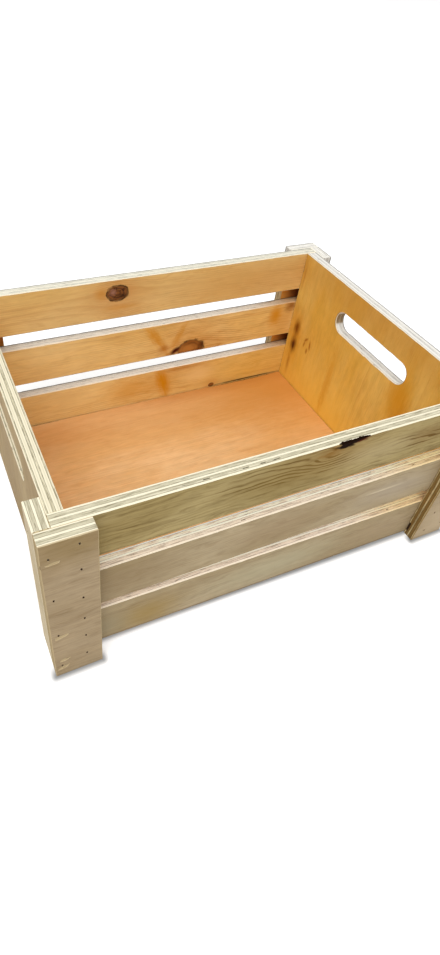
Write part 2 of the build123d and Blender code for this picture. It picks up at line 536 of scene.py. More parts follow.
class PlyEdgeFigure(NodeGroup):
    """A sawn plywood edge: long plies, end-grain plies, glue lines and voids."""

    name = "Ply Edge Figure"
    inputs = {SocketKind.VECTOR: ("Grain",),
              SocketKind.FLOAT: ("Ply", "Facing", "Void", "Split", "Outer Line", "Inner Lift"),
              SocketKind.COLOR: ("Long", "End", "Glue", "Hollow", "Turned Long", "Turned End",
                                 "Turned Glue", "Arris", "Outline")}
    outputs = {SocketKind.COLOR: ("Color",), SocketKind.FLOAT: ("Height", "Roughness")}

    def draw(self, draft: Draft, given: Wires) -> Wires:
        """Draws the edge: the plies, then the lines and hollows over them.

        Args:
            draft: The group's tree.
            given: The group's inputs by name.

        Returns:
            The group's outputs by name.
        """
        grain, ply, facing = given["Grain"], given["Ply"], given["Facing"]

        def layered(along: float, through: float, detail: float = 3.0,
                    roughness: float = 0.6) -> Wire:
            """Gives noise that is drawn out along the plies."""
            return draft.drawn_noise(grain, (along, along, through), detail, roughness)

        about = draft.ease(facing, 0.4, 0.6)
        long, end, glue = (draft.mix(about, given[name], given["Turned " + name])
                           for name in ("Long", "End", "Glue"))
        depth = ply + (draft.noise(grain, 55.0, 3.0) - 0.5) * 0.022
        crossed = cross_ply(draft, depth)
        ended = draft.ease(crossed * (1.0 - facing) + (1.0 - crossed) * facing, 0.3, 0.7)
        streak = layered(45.0, 900.0)
        speck = draft.noise(grain, 900.0, 2.0, 0.7)
        long_color = draft.mix(draft.ease(streak, 0.5, 0.8, 0.0, 0.4), long, end)
        dull = (draft.ease(speck, 0.42, 0.66, 0.0, 0.1)
                + draft.ease(layered(80.0, 1500.0, 2.0), 0.48, 0.64, 0.0, 0.55)
                + draft.ease(layered(38.0, 320.0), 0.5, 0.7, 0.0, 0.25))
        threaded = draft.mix(draft.ease(layered(24.0, 1050.0, 2.0), 0.52, 0.64, 0.0, 0.65),
                             end, long)
        plain = draft.mix(ended, long_color, draft.mix(dull, threaded, glue))
        # Painted light: Inner Lift makes the inner half of the edge lighter, to offset the shade
        # that falls on it inside the box.
        lifted = draft.scaled(plain, draft.ease(ply, 0.3, 0.7) * given["Inner Lift"] + 1.0)
        plain = draft.vector("MINIMUM", lifted, (0.97, 0.97, 0.97))
        # Near both arrises the edge takes the arris colour: the paler outer plies, with a painted
        # highlight on the rounded arris.
        arris = draft.ease(draft.least(ply, 1.0 - ply), 0.04, 0.085, 0.85, 0.0)
        color = draft.mix(arris, plain, given["Arris"])
        halves = seam_line(draft, depth, SPLIT_LINE, PLY_SPLITS) * given["Split"]
        color = draft.mix(halves, color, end)
        seam = seam_line(draft, depth, GLUE_LINE)
        broken = draft.ease(draft.noise(grain, 130.0), 0.36, 0.6, 0.5, 1.0)
        color = draft.mix(seam * broken, color, glue)
        color = draft.mix(draft.fall(ply, 0.1, 0.2) * given["Outer Line"], color,
                          given["Outline"])
        # Painted shade: fine slits, core voids, brad pits and darkened notches take the dark hollow
        # colour in their depths; where a finish gives bark as that colour, the bark pocket shows its
        # own bark
        slit = draft.ease(layered(110.0, 1000.0, 1.0, 0.5), 0.68, 0.76) * ended
        color = draft.mix(slit * 0.6, color, given["Hollow"])
        color = draft.mix(draft.ease(given["Void"], 0.15, 0.8), color, given["Hollow"])
        return {"Color": color,
                "Height": speck * ended * 0.6 + streak * 0.5 - seam * 0.5 - slit * 0.8,
                "Roughness": draft.ease(speck, 0.3, 0.7, 0.62, 0.82)}


# Marks and finishes


@dataclass(frozen=True)
class Mark:
    """A mark in the wood: its middle along and across the grain, and its half sizes."""

    along: float
    across: float
    half_length: float
    half_width: float

    def lay(self, draft: Draft, grain: Wire, figure: NodeGroup, **more: float) -> Wires:
        """Places a figure on the mark.

        Args:
            draft: The material's tree.
            grain: The grain coordinates.
            figure: The group that draws the mark.
            **more: The group's other inputs, by their names in small letters.

        Returns:
            The group's outputs by name.
        """
        return draft.group(figure, {
            "Grain": grain, "Centre": (self.along, self.across, 0.0),
            "Half Length": self.half_length, "Half Width": self.half_width,
            **{name.title(): value for name, value in more.items()}})


@dataclass(frozen=True)
class Knot(Mark):
    """A knot, with how dark and cracked it is, its heart, and the lines round it."""

    darkness: float = 0.8
    cracks: float = 0.6
    heart: Color = paint(122, 80, 54)
    lines: float = 0.0


@dataclass(frozen=True)
class Patch(Mark):
    """A patch of colour, with its strength, its edge, its slant in degrees and its lines."""

    color: Color
    strength: float
    ragged: float = 0.4
    softness: float = 1.0
    slant: float = 0.0
    lines: float = 0.0

    def mask(self, draft: Draft, grain: Wire) -> Wire:
        """Gives 1 inside the patch, falling to 0 outside it."""
        return self.lay(draft, grain, PatchFigure(), softness=self.softness, ragged=self.ragged,
                        slant=math.radians(self.slant))["Mask"]

    def over(self, draft: Draft, mask: Wire, color: Wire, blend: str = "MIX") -> Wire:
        """Lays the patch over a colour."""
        return draft.mix(mask * self.strength, color, self.color, blend)


def grain_vector(draft: Draft, run: GrainRun) -> Wire:
    """Gives Object coordinates turned to read along, across and through the grain."""
    parts = draft.split(draft.spot())
    return draft.join(*(parts[axis] for axis in run.value))


@dataclass(frozen=True)
class Finish:
    """A finish, made into a material the first time it is asked for."""

    name: str

    def material(self) -> bpy.types.Material:
        """Makes the material if it is not there yet.

        Returns:
            The finish's material.
        """
        found = bpy.data.materials.get(self.name)
        if found:
            return found
        made = bpy.data.materials.new(self.name)
        made.use_nodes = True
        made.node_tree.nodes.clear()
        draft = Draft(made.node_tree)
        draft.node("ShaderNodeOutputMaterial", {"Surface": self.surface(draft)})
        return made

    def surface(self, draft: Draft) -> Wire:
        """Gives the finish's shader in the material's tree."""
        raise NotImplementedError

    def figured(self, draft: Draft, figure: NodeGroup, given: dict[str, Any]) -> Wires:
        """Places a figure and feeds it the finish's own fields where nothing else is given.

        Args:
            draft: The material's tree.
            figure: The group that draws the wood.
            given: The inputs that are not fields of the finish, by name.

        Returns:
            The group's outputs by name.
        """
        names = [name for ports in figure.inputs.values() for name in ports]
        own = {name: getattr(self, name.lower().replace(" ", "_"))
               for name in names if name not in given}
        return draft.group(figure, {**own, **given})


@dataclass(frozen=True)
class VeneerFinish(Finish):
    """Face veneer: its colours, figure, knots, and the patches under and over the knots."""

    run: GrainRun
    pale: Color
    warm: Color
    dark: Color
    band_width: float = 9.0 * MILLIMETRE
    wander: float = 40.0 * MILLIMETRE
    curl: float = 4.0 * MILLIMETRE
    band_strength: float = 0.45
    line_strength: float = 0.2
    fibre_strength: float = 0.35
    blotch_strength: float = 0.7
    dash_strength: float = 0.3
    rough_early: float = 0.68
    rough_late: float = 0.56
    gloss: float = 0.1
    relief: float = 0.35
    relief_height: float = 0.25 * MILLIMETRE
    knots: tuple[Knot, ...] = ()
    patches: tuple[Patch, ...] = ()
    spots: tuple[Patch, ...] = ()
    rim: Color = paint(52, 29, 17)
    glow: Color = paint(192, 122, 52)
    glow_strength: float = 0.45
    ring_strength: float = 0.3

    def surface(self, draft: Draft) -> Wire:
        """Draws the veneer and lays its patches, knots and spots over it.

        Args:
            draft: The material's tree.

        Returns:
            The shader.
        """
        grain = grain_vector(draft, self.run)
        cut = draft.attribute("cut")
        shifted = draft.vector("ADD", grain, draft.join(*(cut * shift for shift in CUT_SHIFTS)))
        knots = [(knot, knot.lay(draft, grain, KnotFigure())) for knot in self.knots]
        patches = [(patch, patch.mask(draft, grain)) for patch in self.patches]
        pull: Any = 0.0
        lines: Any = self.line_strength
        for knot, figure in knots:
            pull = pull + figure["Pull"]
            lines = lines + figure["Glow"] * knot.lines
        for patch, mask in patches:
            if patch.lines:
                lines = lines + mask * patch.lines
        veneer = self.figured(draft, VeneerFigure(), {
            "Grain": shifted, "Pull": pull, "Line Strength": lines})
        color = veneer["Color"]
        for patch, mask in patches:
            color = patch.over(draft, mask, color)
        for knot, figure in knots:
            color = self.grow(draft, knot, figure, color)
        for spot in self.spots:
            color = spot.over(draft, spot.mask(draft, grain), color)
        return draft.take("ShaderNodeBsdfPrincipled", {
            "Base Color": color, "Specular IOR Level": self.gloss,
            "Roughness": draft.ease(veneer["Late Wood"], 0.0, 1.0,
                                    self.rough_early, self.rough_late),
            "Normal": draft.bump(veneer["Height"], self.relief, self.relief_height)})

    def grow(self, draft: Draft, knot: Knot, figure: Wires, color: Wire) -> Wire:
        """Lays one knot over a colour: its glow, then its heart and its rim.

        Args:
            draft: The material's tree.
            knot: The knot to lay.
            figure: The outputs of the knot's group.
            color: The colour beneath.

        Returns:
            The colour with the knot in it.
        """
        lit = draft.mix(figure["Glow"] * (self.glow_strength * knot.darkness), color, self.glow)
        ringed = draft.mix(figure["Rings"] * self.ring_strength, knot.heart, self.glow)
        hearted = draft.mix(figure["Heart"] * knot.darkness, lit, ringed)
        dark = draft.most(figure["Rim"], figure["Crack"] * knot.cracks)
        return draft.mix(dark * knot.darkness, hearted, self.rim)


@dataclass(frozen=True)
class PlyEdgeFinish(Finish):
    """Sawn plywood edge: the colours of its plies, glue lines and core voids.

    The turned colours show where the edge runs across the face grain.
    """

    run: GrainRun
    long: Color = paint(242, 234, 208)
    end: Color = paint(204, 197, 170)
    glue: Color = paint(128, 118, 92)
    # Painted shade in the slits, core voids, brad pits and darkened notches
    hollow: Color = paint(66, 48, 34)
    turned_long: Color = paint(206, 188, 144)
    turned_end: Color = paint(140, 114, 70)
    turned_glue: Color = paint(92, 68, 38)
    # The outer plies by the arrises, with a painted highlight on their rounding
    arris: Color = paint(244, 235, 208)
    outline: Color = paint(128, 124, 118)
    split: float = 0.0
    outer_line: float = 0.0
    # Painted light: how much lighter the inner half of the edge is made
    inner_lift: float = 0.0
    gloss: float = 0.02
    relief: float = 0.5
    relief_height: float = 0.25 * MILLIMETRE
    patches: tuple[Patch, ...] = ()

    def surface(self, draft: Draft) -> Wire:
        """Draws the edge and tints it with its patches.

        Args:
            draft: The material's tree.

        Returns:
            The shader.
        """
        grain = grain_vector(draft, self.run)
        edge = self.figured(draft, PlyEdgeFigure(), {
            "Grain": grain, "Ply": draft.attribute("ply"), "Facing": draft.attribute("facing"),
            "Void": draft.attribute("void")})
        color = edge["Color"]
        for patch in self.patches:
            color = patch.over(draft, patch.mask(draft, grain), color, "MULTIPLY")
        return draft.take("ShaderNodeBsdfPrincipled", {
            "Base Color": color, "Specular IOR Level": self.gloss,
            "Roughness": edge["Roughness"],
            "Normal": draft.bump(edge["Height"], self.relief, self.relief_height)})


@dataclass(frozen=True)
class BradFinish(Finish):
    """Dull, slightly browned steel of the driven brads."""

    name: str = "brad steel"
    bright: Color = paint(104, 94, 80)
    brown: Color = paint(62, 45, 32)
    relief: float = 0.3
    relief_height: float = 0.05 * MILLIMETRE

    def surface(self, draft: Draft) -> Wire:
        """Draws scratched steel with a brown bloom.

        Args:
            draft: The material's tree.

        Returns:
            The shader.
        """
        place = draft.spot()
        bloom = draft.ease(draft.noise(place, 700.0, 3.0, 0.6), 0.35, 0.65)
        scratch = draft.noise(place, 2600.0)
        return draft.take("ShaderNodeBsdfPrincipled", {
            "Base Color": draft.mix(bloom, self.bright, self.brown),
            "Metallic": draft.ease(bloom, 0.0, 1.0, 0.85, 0.25),
            "Roughness": draft.ease(bloom, 0.0, 1.0, 0.42, 0.75),
            "Normal": draft.bump(scratch, self.relief, self.relief_height)})


def looking_ray(draft: Draft) -> Wire:
    """Gives 1 for rays from the camera, and for reflected and transmitted views."""
    path = draft.wires(draft.node("ShaderNodeLightPath"))
    return draft.most(draft.most(path["Is Camera Ray"], path["Is Glossy Ray"]),
                      path["Is Transmission Ray"])


@dataclass(frozen=True)
class BackdropFinish(Finish):
    """White studio ground that still takes the object's shadow."""

    name: str = "studio ground"
    albedo: float = 0.8
    near_lift: float = 0.42
    far_lift: float = 0.6
    near: float = 0.25
    far: float = 0.75
    wall: str = "back_slat_low"
    contact: float = 0.66
    contact_reach: float = 6.5 * MILLIMETRE
    lean_inset: float = 6.5 * MILLIMETRE
    post: str = "post_face_board_front_right"
    post_contact: float = 0.72
    post_reach: float = 7.0 * MILLIMETRE

    def surface(self, draft: Draft) -> Wire:
        """Draws matt white with a lift that only looking rays see.

        Args:
            draft: The material's tree.

        Returns:
            The shader.
        """
        spot = draft.spot()
        level = draft.ease(draft.length(spot), self.near, self.far, self.near_lift, self.far_lift)
        shade = 1.0 - self.contact_shade(draft, spot)
        grey = shade * self.albedo
        matt = draft.take("ShaderNodeBsdfDiffuse", {"Color": draft.join(grey, grey, grey)})
        lift = draft.take("ShaderNodeEmission", {"Strength": looking_ray(draft) * level * shade})
        return draft.take("ShaderNodeAddShader", {0: matt, 1: lift})

    def contact_shade(self, draft: Draft, spot: Wire) -> Wire:
        """Gives the dark seam on the ground close to the posts and the low slats.

        Args:
            draft: The material's tree.
            spot: The place on the ground.

        Returns:
            How much darker the ground is there, from 0 up.
        """
        along, across, _ = draft.split(spot)
        low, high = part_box(self.post)
        mirrored = draft.join(draft.math("ABSOLUTE", along), across, 0.0)
        post = draft.ease(self.gap(draft, mirrored, self.post), 0.0, self.post_reach,
                          self.post_contact, 0.0)
        ahead = draft.fall(across, low[1], high[1])
        low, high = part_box(self.wall)
        inset = draft.ease(along, low[0], high[0], self.lean_inset, 0.0)
        folded = draft.vector("ADD", draft.vector("ABSOLUTE", spot), draft.join(0.0, inset, 0.0))
        wall = draft.ease(self.gap(draft, folded, self.wall), 0.0, self.contact_reach,
                          self.contact, 0.0)
        return draft.most(post * ahead, wall)

    def gap(self, draft: Draft, spot: Wire, node: str) -> Wire:
        """Gives the distance on the ground from a node's outline.

        Args:
            draft: The material's tree.
            spot: The place on the ground.
            node: The node.

        Returns:
            The distance, 0 inside the outline.
        """
        low, high = (Vector(corner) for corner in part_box(node))
        middle, half = (low + high) / 2, (high - low) / 2
        offset = draft.vector("SUBTRACT", spot, (middle.x, middle.y, 0.0))
        past = draft.vector("SUBTRACT", draft.vector("ABSOLUTE", offset), (half.x, half.y, 0.0))
        return draft.length(draft.vector("MAXIMUM", past, (0.0, 0.0, 0.0)))


# Geometry trees


class SawnBoardTree(NodeGroup):
    """Turns a board's outline into a sawn plywood board.

    The outline's loops are swept through the thickness. The swept edge is then worn back at
    its arrises, grooved at its glue lines and hollowed at its core voids, and the two faces
    are filled from the rings that are left.
    """

    name = "Sawn Board"
    kind = "GeometryNodeTree"
    inputs = {SocketKind.GEOMETRY: ("Outline",),
              SocketKind.FLOAT: ("Thickness", "Groove", "Void Depth", "Chip", "Seed"),
              SocketKind.INT: ("Rings",),
              SocketKind.MATERIAL: ("Outer Finish", "Inner Finish", "Edge Finish")}
    outputs = {SocketKind.GEOMETRY: ("Board",)}

    def draw(self, draft: Draft, given: Wires) -> Wires:
        """Draws the board: its worn edge, and the faces that its first and last rings hold.

        Args:
            draft: The group's tree.
            given: The group's inputs by name.

        Returns:
            The group's outputs by name.
        """
        pit = draft.read("pit")
        outline = self.ring(draft, given["Outline"], draft.math("LESS_THAN", pit, 0.5))
        pits = self.ring(draft, given["Outline"], pit)
        band = self.wear(draft, given, self.sweep(draft, given, outline))
        smooth = draft.take("GeometryNodeSetShadeSmooth", {"Geometry": band})
        edge = draft.dressed(smooth, given["Edge Finish"])
        ply = draft.read("ply")
        first = self.ring(draft, band, draft.math("LESS_THAN", ply, FACE_SHARE))
        last = self.ring(draft, band, draft.math("GREATER_THAN", ply, 1.0 - FACE_SHARE))
        outer = self.fill(draft, draft.gather(first, pits), 0.0, given["Outer Finish"])
        inner = self.fill(draft, last, given["Thickness"], given["Inner Finish"])
        return {"Board": draft.take("GeometryNodeMergeByDistance", {
            "Geometry": draft.gather(edge, outer, inner), "Distance": WELD})}

    def sweep(self, draft: Draft, given: Wires, outline: Wire) -> Wire:
        """Sweeps the outline through the thickness.

        Args:
            draft: The tree.
            given: The tree's inputs.
            outline: The outline's curves.

        Returns:
            The edge band, which carries its depth as "ply" and its outline place as "base".
        """
        place = draft.take("GeometryNodeInputPosition")
        depth = draft.take("GeometryNodeSplineParameter", output="Factor")
        rungs = draft.take("GeometryNodeResampleCurve", {
            "Curve": draft.take("GeometryNodeCurvePrimitiveLine"), "Count": given["Rings"]})
        return draft.take("GeometryNodeCurveToMesh", {
            "Curve": draft.keep(outline, "base", place, "FLOAT_VECTOR"),
            "Profile Curve": draft.keep(rungs, "ply", depth)})

    def wear(self, draft: Draft, given: Wires, band: Wire) -> Wire:
        """Shapes the band: worn arrises, chips, glue-line grooves and core voids.

        Args:
            draft: The tree.
            given: The tree's inputs.
            band: The swept band.

        Returns:
            The shaped band, which carries its hollows as "void".
        """
        seed = given["Seed"]
        ply = draft.read("ply")
        level = ply * given["Thickness"]
        far = given["Thickness"] - level
        flat = draft.vector("ADD", draft.read("base", "FLOAT_VECTOR"),
                            draft.join(0.0, 0.0, level))
        place = draft.vector("ADD", flat, draft.join(seed, seed, seed))
        soft = draft.ease(draft.noise(place, 85.0, 3.0), 0.25, 0.75, 0.7, 1.5)
        bite = draft.ease(draft.noise(place, 150.0), 0.64, 0.76) * given["Chip"]
        fallen = self.round_over(draft, draft.read("rim") * soft + bite, draft.least(level, far))
        broken = draft.read("notch")
        bared: Any = 0.0
        for way, rise in ((1.0, level), (-1.0, far)):
            torn = self.round_over(draft, draft.most(broken * way, 0.0), rise)
            fallen = draft.most(fallen, torn)
            bared = draft.most(bared, draft.ease(torn, 0.0, BARED_DEPTH))
        layer = draft.math("FLOOR", ply * 2.0) * LAYER_SHIFT
        flow = draft.vector("ADD", draft.vector("MULTIPLY", place, (85.0, 85.0, 330.0)),
                            draft.join(0.0, layer, seed))
        chance = draft.ease(draft.noise(flow, 1.0), 0.73, 0.86) * cross_ply(draft, ply)
        high = draft.read("hole")
        placed = (draft.fall(draft.away(ply, draft.read("hole_ply")), high * 0.5, high)
                  * draft.math("GREATER_THAN", high, 0.0))
        hollow = draft.most(chance, placed)
        groove = (seam_line(draft, ply, GROOVE_LINE) * given["Groove"]
                  * draft.ease(draft.noise(place, 240.0), 0.35, 0.65, 0.2, 1.6))
        tooth = draft.noise(place, 950.0, 1.0) * SAW_TOOTH
        worn = fallen + groove + tooth + hollow * given["Void Depth"]
        inset = draft.least(worn, draft.read("give"))
        back = draft.vector("MULTIPLY", draft.read("out", "FLOAT_VECTOR"),
                            draft.join(inset, inset, 0.0))
        # Painted shade: void marks where the edge takes the dark hollow colour: in the core voids,
        # and on torn notches as far as their stored darkness says, which is shade in the gaps and
        # bark at the bark pocket.
        void = draft.most(hollow, bared * draft.read("shade_and_bark"))
        return draft.take("GeometryNodeSetPosition", {
            "Geometry": draft.keep(band, "void", void),
            "Position": draft.vector("SUBTRACT", flat, back)})

    def round_over(self, draft: Draft, radius: Wire, rise: Wire) -> Wire:
        """Tells how far a rounded arris falls back at a height above its face.

        Args:
            draft: The tree.
            radius: The arris's radius.
            rise: The height above the face.

        Returns:
            How far the edge falls back.
        """
        left = draft.most(radius - rise, 0.0)
        square = draft.most(radius * radius - left * left, 0.0)
        return radius - draft.math("SQRT", square)

    def ring(self, draft: Draft, mesh: Wire, chosen: Wire) -> Wire:
        """Gives the chosen edges of a mesh as curves."""
        return draft.take("GeometryNodeMeshToCurve", {"Mesh": mesh, "Selection": chosen})

    def fill(self, draft: Draft, loops: Wire, level: Any, finish: Wire) -> Wire:
        """Fills loops with a face at a depth below the outer one, and dresses it."""
        return draft.dressed(draft.take("GeometryNodeTransform", {
            "Geometry": draft.take("GeometryNodeFillCurve", {"Curve": loops}),
            "Translation": draft.join(0.0, 0.0, level)}), finish)


class DrivenBradTree(NodeGroup):
    """Sets a brad, head outwards, at every point of a mesh."""

    name = "Driven Brads"
    kind = "GeometryNodeTree"
    inputs = {SocketKind.GEOMETRY: ("Heads",),
              SocketKind.FLOAT: ("Length", "Shank Width", "Shank Thickness", "Head Width",
                                 "Head Height", "Point", "Tip"),
              SocketKind.MATERIAL: ("Finish",)}
    outputs = {SocketKind.GEOMETRY: ("Brads",)}
    point_share = 0.7

    def draw(self, draft: Draft, given: Wires) -> Wires:
        """Draws one brad of head, shank and point, and sets it in at every point.

        Args:
            draft: The group's tree.
            given: The group's inputs by name.

        Returns:
            The group's outputs by name.
        """
        thick, high = given["Shank Thickness"], given["Head Height"]
        straight = given["Length"] - given["Point"]
        head = self.block(draft, draft.join(given["Head Width"], thick, high), high * 0.5)
        rest = straight - high
        shank = self.block(draft, draft.join(given["Shank Width"], thick, rest),
                           rest * 0.5 + high)
        cone = draft.take("GeometryNodeMeshCone", {
            "Vertices": 4, "Radius Top": given["Tip"], "Depth": given["Point"],
            "Radius Bottom": thick * self.point_share}, "Mesh")
        point = draft.take("GeometryNodeTransform", {
            "Geometry": cone, "Translation": draft.join(0.0, 0.0, straight),
            "Rotation": (0.0, 0.0, math.pi / 4)})
        turn = draft.take("FunctionNodeAxesToRotation", {
            0: draft.read("drive", "FLOAT_VECTOR"), 1: (0.0, 0.0, 1.0)},
            primary_axis="Z", secondary_axis="X")
        driven = draft.take("GeometryNodeInstanceOnPoints", {
            "Points": given["Heads"], "Instance": draft.gather(head, shank, point),
            "Rotation": turn})
        real = draft.take("GeometryNodeRealizeInstances", {"Geometry": driven})
        return {"Brads": draft.dressed(real, given["Finish"])}

    def block(self, draft: Draft, size: Wire, middle: Wire) -> Wire:
        """Makes one flat-sided length of wire, its middle at a depth below the head."""
        return draft.take("GeometryNodeTransform", {
            "Geometry": draft.take("GeometryNodeMeshCube", {"Size": size}, "Mesh"),
            "Translation": draft.join(0.0, 0.0, middle)})


def put(name: str, data: bpy.types.ID) -> bpy.types.Object:
    """Puts a mesh, lamp or camera in the scene as an object.

    Args:
        name: The object's name.
        data: What it shows.

    Returns:
        The object.
    """
    made = bpy.data.objects.new(name, data)
    bpy.context.scene.collection.objects.link(made)
    return made


def grown(name: str, mesh: bpy.types.Mesh, tree: bpy.types.NodeTree,
          values: dict[str, Any]) -> bpy.types.Mesh:
    """Runs a geometry tree on a mesh.

    Args:
        name: A name for the carrier object and the mesh.
        mesh: The mesh that the tree starts from.
        tree: The geometry tree.
        values: The tree's inputs by name.

    Returns:
        The tree's result as a plain mesh.
    """
    carrier = put(name + "_carrier", mesh)
    modifier = carrier.modifiers.new("build", "NODES")
    modifier.node_group = tree
    for item in tree.interface.items_tree:
        if item.item_type == "SOCKET" and item.in_out == "INPUT" and item.name in values:
            modifier[item.identifier] = values[item.name]
    graph = bpy.context.evaluated_depsgraph_get()
    made = bpy.data.meshes.new_from_object(
        carrier.evaluated_get(graph), preserve_all_data_layers=True, depsgraph=graph)
    carrier.modifiers.remove(modifier)
    bpy.data.objects.remove(carrier)
    bpy.data.meshes.remove(mesh)
    made.name = name
    return made


def settle(name: str, mesh: bpy.types.Mesh, node: str) -> None:
    """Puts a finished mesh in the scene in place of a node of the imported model.

    Args:
        name: The piece's name.
        mesh: Its mesh, in place.
        node: The node that it stands for.
    """
    piece = put(name, mesh)
    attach(piece, BODY)
    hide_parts(node)
    LOG.info("%s: %d faces, in place of %s", name, len(mesh.polygons), node)


# Outlines and breaks


@dataclass
class Loop:
    """A closed line in a board's plane, with the directions that face off the board.

    The rim is the radius of the eased arris, and pit is 1 on the rim of a recess.
    """

    points: np.ndarray
    normals: np.ndarray
    rim: float = ARRIS
    pit: float = 0.0


def rounded_loop(corners: np.ndarray, step: float) -> Loop:
    """Draws a polygon with small rounded corners, in short steps.

    Args:
        corners: The corners in order, counter-clockwise.
        step: The longest step along a side.

    Returns:
        The outline.
    """
    along = np.roll(corners, -1, axis=0) - corners
    along /= np.linalg.norm(along, axis=1, keepdims=True)
    after = along[:, ::-1] * (1, -1)
    before = np.roll(after, 1, axis=0)
    bend = 1 + np.sum(before * after, axis=1, keepdims=True)
    middles = corners - (before + after) * CORNER_RADIUS / bend
    shares = np.linspace(0, 1, CORNER_STEPS + 1)[:, None]
    points = []
    normals = []
    for middle, goal, start, end in zip(middles, np.roll(middles, -1, axis=0), before, after):
        turns = start * (1 - shares) + end * shares
        turns /= np.linalg.norm(turns, axis=1, keepdims=True)
        span = goal - middle
        parts = max(1, math.ceil(float(np.linalg.norm(span)) / step))
        run = np.arange(1, parts)[:, None] / parts * span
        points += [middle + turns * CORNER_RADIUS, middle + end * CORNER_RADIUS + run]
        normals += [turns, np.tile(end, (parts - 1, 1))]
    return Loop(np.concatenate(points), np.concatenate(normals))


def stadium_loop(middle: np.ndarray, half_length: float, radius: float, rim: float) -> Loop:
    """Draws a round-ended slot, long in the first direction, with normals into the slot.

    Args:
        middle: The slot's middle.
        half_length: Half its whole length.
        radius: Half its height.
        rim: The radius of its eased rim.

    Returns:
        The outline.
    """
    straight = half_length - radius
    bends = max(SLOT_STEPS, math.ceil(math.pi * radius / OUTLINE_STEP))
    runs = max(1, math.ceil(2 * straight / OUTLINE_STEP))
    shares = np.arange(1, runs) / runs
    points = []
    normals = []
    for end in (1.0, -1.0):
        angles = np.pi * (np.arange(bends + 1) / bends - 0.5 * end)
        turns = np.column_stack([np.cos(angles), np.sin(angles)])
        run = np.column_stack([end * straight * (1 - 2 * shares), np.full(runs - 1, end * radius)])
        points += [middle + (end * straight, 0.0) + turns * radius, middle + run]
        normals += [-turns, np.tile((0.0, -end), (runs - 1, 1))]
    return Loop(np.concatenate(points), np.concatenate(normals), rim)


@dataclass
class Recess:
    """A shallow recess in a board's outer face: its rim in the board's plane, its depth, and how far
    it is painted dark as shade.
    """

    rim: np.ndarray
    depth: float
    dirt: float = 0.0

    def loop(self) -> Loop:
        """Gives the rim as a line of the outline."""
        return Loop(self.rim, np.zeros_like(self.rim), 0.0, 1.0)


@dataclass(frozen=True)
class Notch:
    """A stretch of arris that is broken away: where, on which edge and face, and how deep."""

    start: float
    end: float
    edge: Place
    depth: float
    inner: bool = False
    taper: float = 0.0
    # How dark the bared wood is painted with the edge's hollow colour: painted shade in the floor's
    # back gap and on the back slats' lower arrises, and bark at the bark pocket
    shade_and_bark: float = 0.0
    ragged: float = 0.45
    seed: int = 1

    def depths(self, along: np.ndarray) -> np.ndarray:
        """Gives the ragged depth at places along the board, less than 0 on the inner face.

        Args:
            along: The places.

        Returns:
            The depth at each place.
        """
        share = np.clip((along - self.start) / (self.end - self.start), 0, 1)
        swell = np.sqrt(np.sin(np.pi * share).clip(0)) * (1 - self.taper * share)
        ragged = np.random.default_rng(self.seed).uniform(1 - self.ragged, 1.0, len(along))
        return self.depth * swell * ragged * (-1 if self.inner else 1)


@dataclass(frozen=True)
class Chip:
    """A sliver torn from a board's outer face: its middle, half sizes, slant and depth."""

    place: Place
    half: tuple[float, float]
    slant: float
    seed: int
    depth: float = 0.35 * MILLIMETRE

    def rim(self, middle: np.ndarray, way: float) -> np.ndarray:
        """Draws the ragged rim, drawn out along the grain.

        Args:
            middle: The chip's middle in the board's plane.
            way: 1 where the plane shows the slant as it is, -1 where it is mirrored.

        Returns:
            The rim's points.
        """
        ragged = np.random.default_rng(self.seed).uniform(*CHIP_RAGGED, CHIP_POINTS)
        turns = np.linspace(0, 2 * math.pi, CHIP_POINTS, endpoint=False)
        leaf = np.column_stack([np.cos(turns), np.sin(turns)]) * self.half * ragged[:, None]
        slant = math.radians(self.slant) * way
        turn = np.array([(math.cos(slant), math.sin(slant)), (-math.sin(slant), math.cos(slant))])
        return middle + leaf @ turn


@dataclass(frozen=True)
class Hole:
    """An open void in a sawn edge: its place, reach along, and half height and depth in the ply."""

    place: Place
    reach: float
    high: float = 0.05
    ply: float = CROSS_PLY_MIDDLE


@dataclass
class BradPlace:
    """Where a brad's head is, which way the brad is driven, and its sizes."""

    head: Vector
    drive: Vector
    length: float
    wide: float
    thick: float


def brad_place(spots: np.ndarray) -> BradPlace:
    """Reads one brad from its corners.

    Args:
        spots: The corners of the brad's solid.

    Returns:
        The brad's place. It is driven towards the middle of the box.
    """
    low, high = spots.min(axis=0), spots.max(axis=0)
    size = high - low
    axis = int(size.argmax())
    head = Vector((low + high) / 2)
    way = math.copysign(1.0, head[axis])
    head[axis] = high[axis] if way > 0 else low[axis]
    drive = Vector((0.0, 0.0, 0.0))
    drive[axis] = -way
    return BradPlace(head, drive, float(size[axis]), float(size[2]), float(size[1 - axis]))


def brad_places(node: str) -> list[BradPlace]:
    """Reads the brads of a node from its separate solids.

    Args:
        node: The node that holds the brads.

    Returns:
        One place for each brad.
    """
    work = bmesh.new()
    work.from_mesh(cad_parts[node].data)
    bmesh.ops.remove_doubles(work, verts=work.verts, dist=BRAD_WELD)
    seen: set[bmesh.types.BMVert] = set()
    places = []
    for vert in work.verts:
        if vert in seen:
            continue
        island = [vert]
        seen.add(vert)
        for member in island:
            fresh = {edge.other_vert(member) for edge in member.link_edges} - seen
            seen |= fresh
            island += fresh
        places.append(brad_place(np.array([member.co for member in island])))
    work.free()
    return sorted(places, key=lambda place: tuple(round(value, 5) for value in place.head))


# Boards and brads


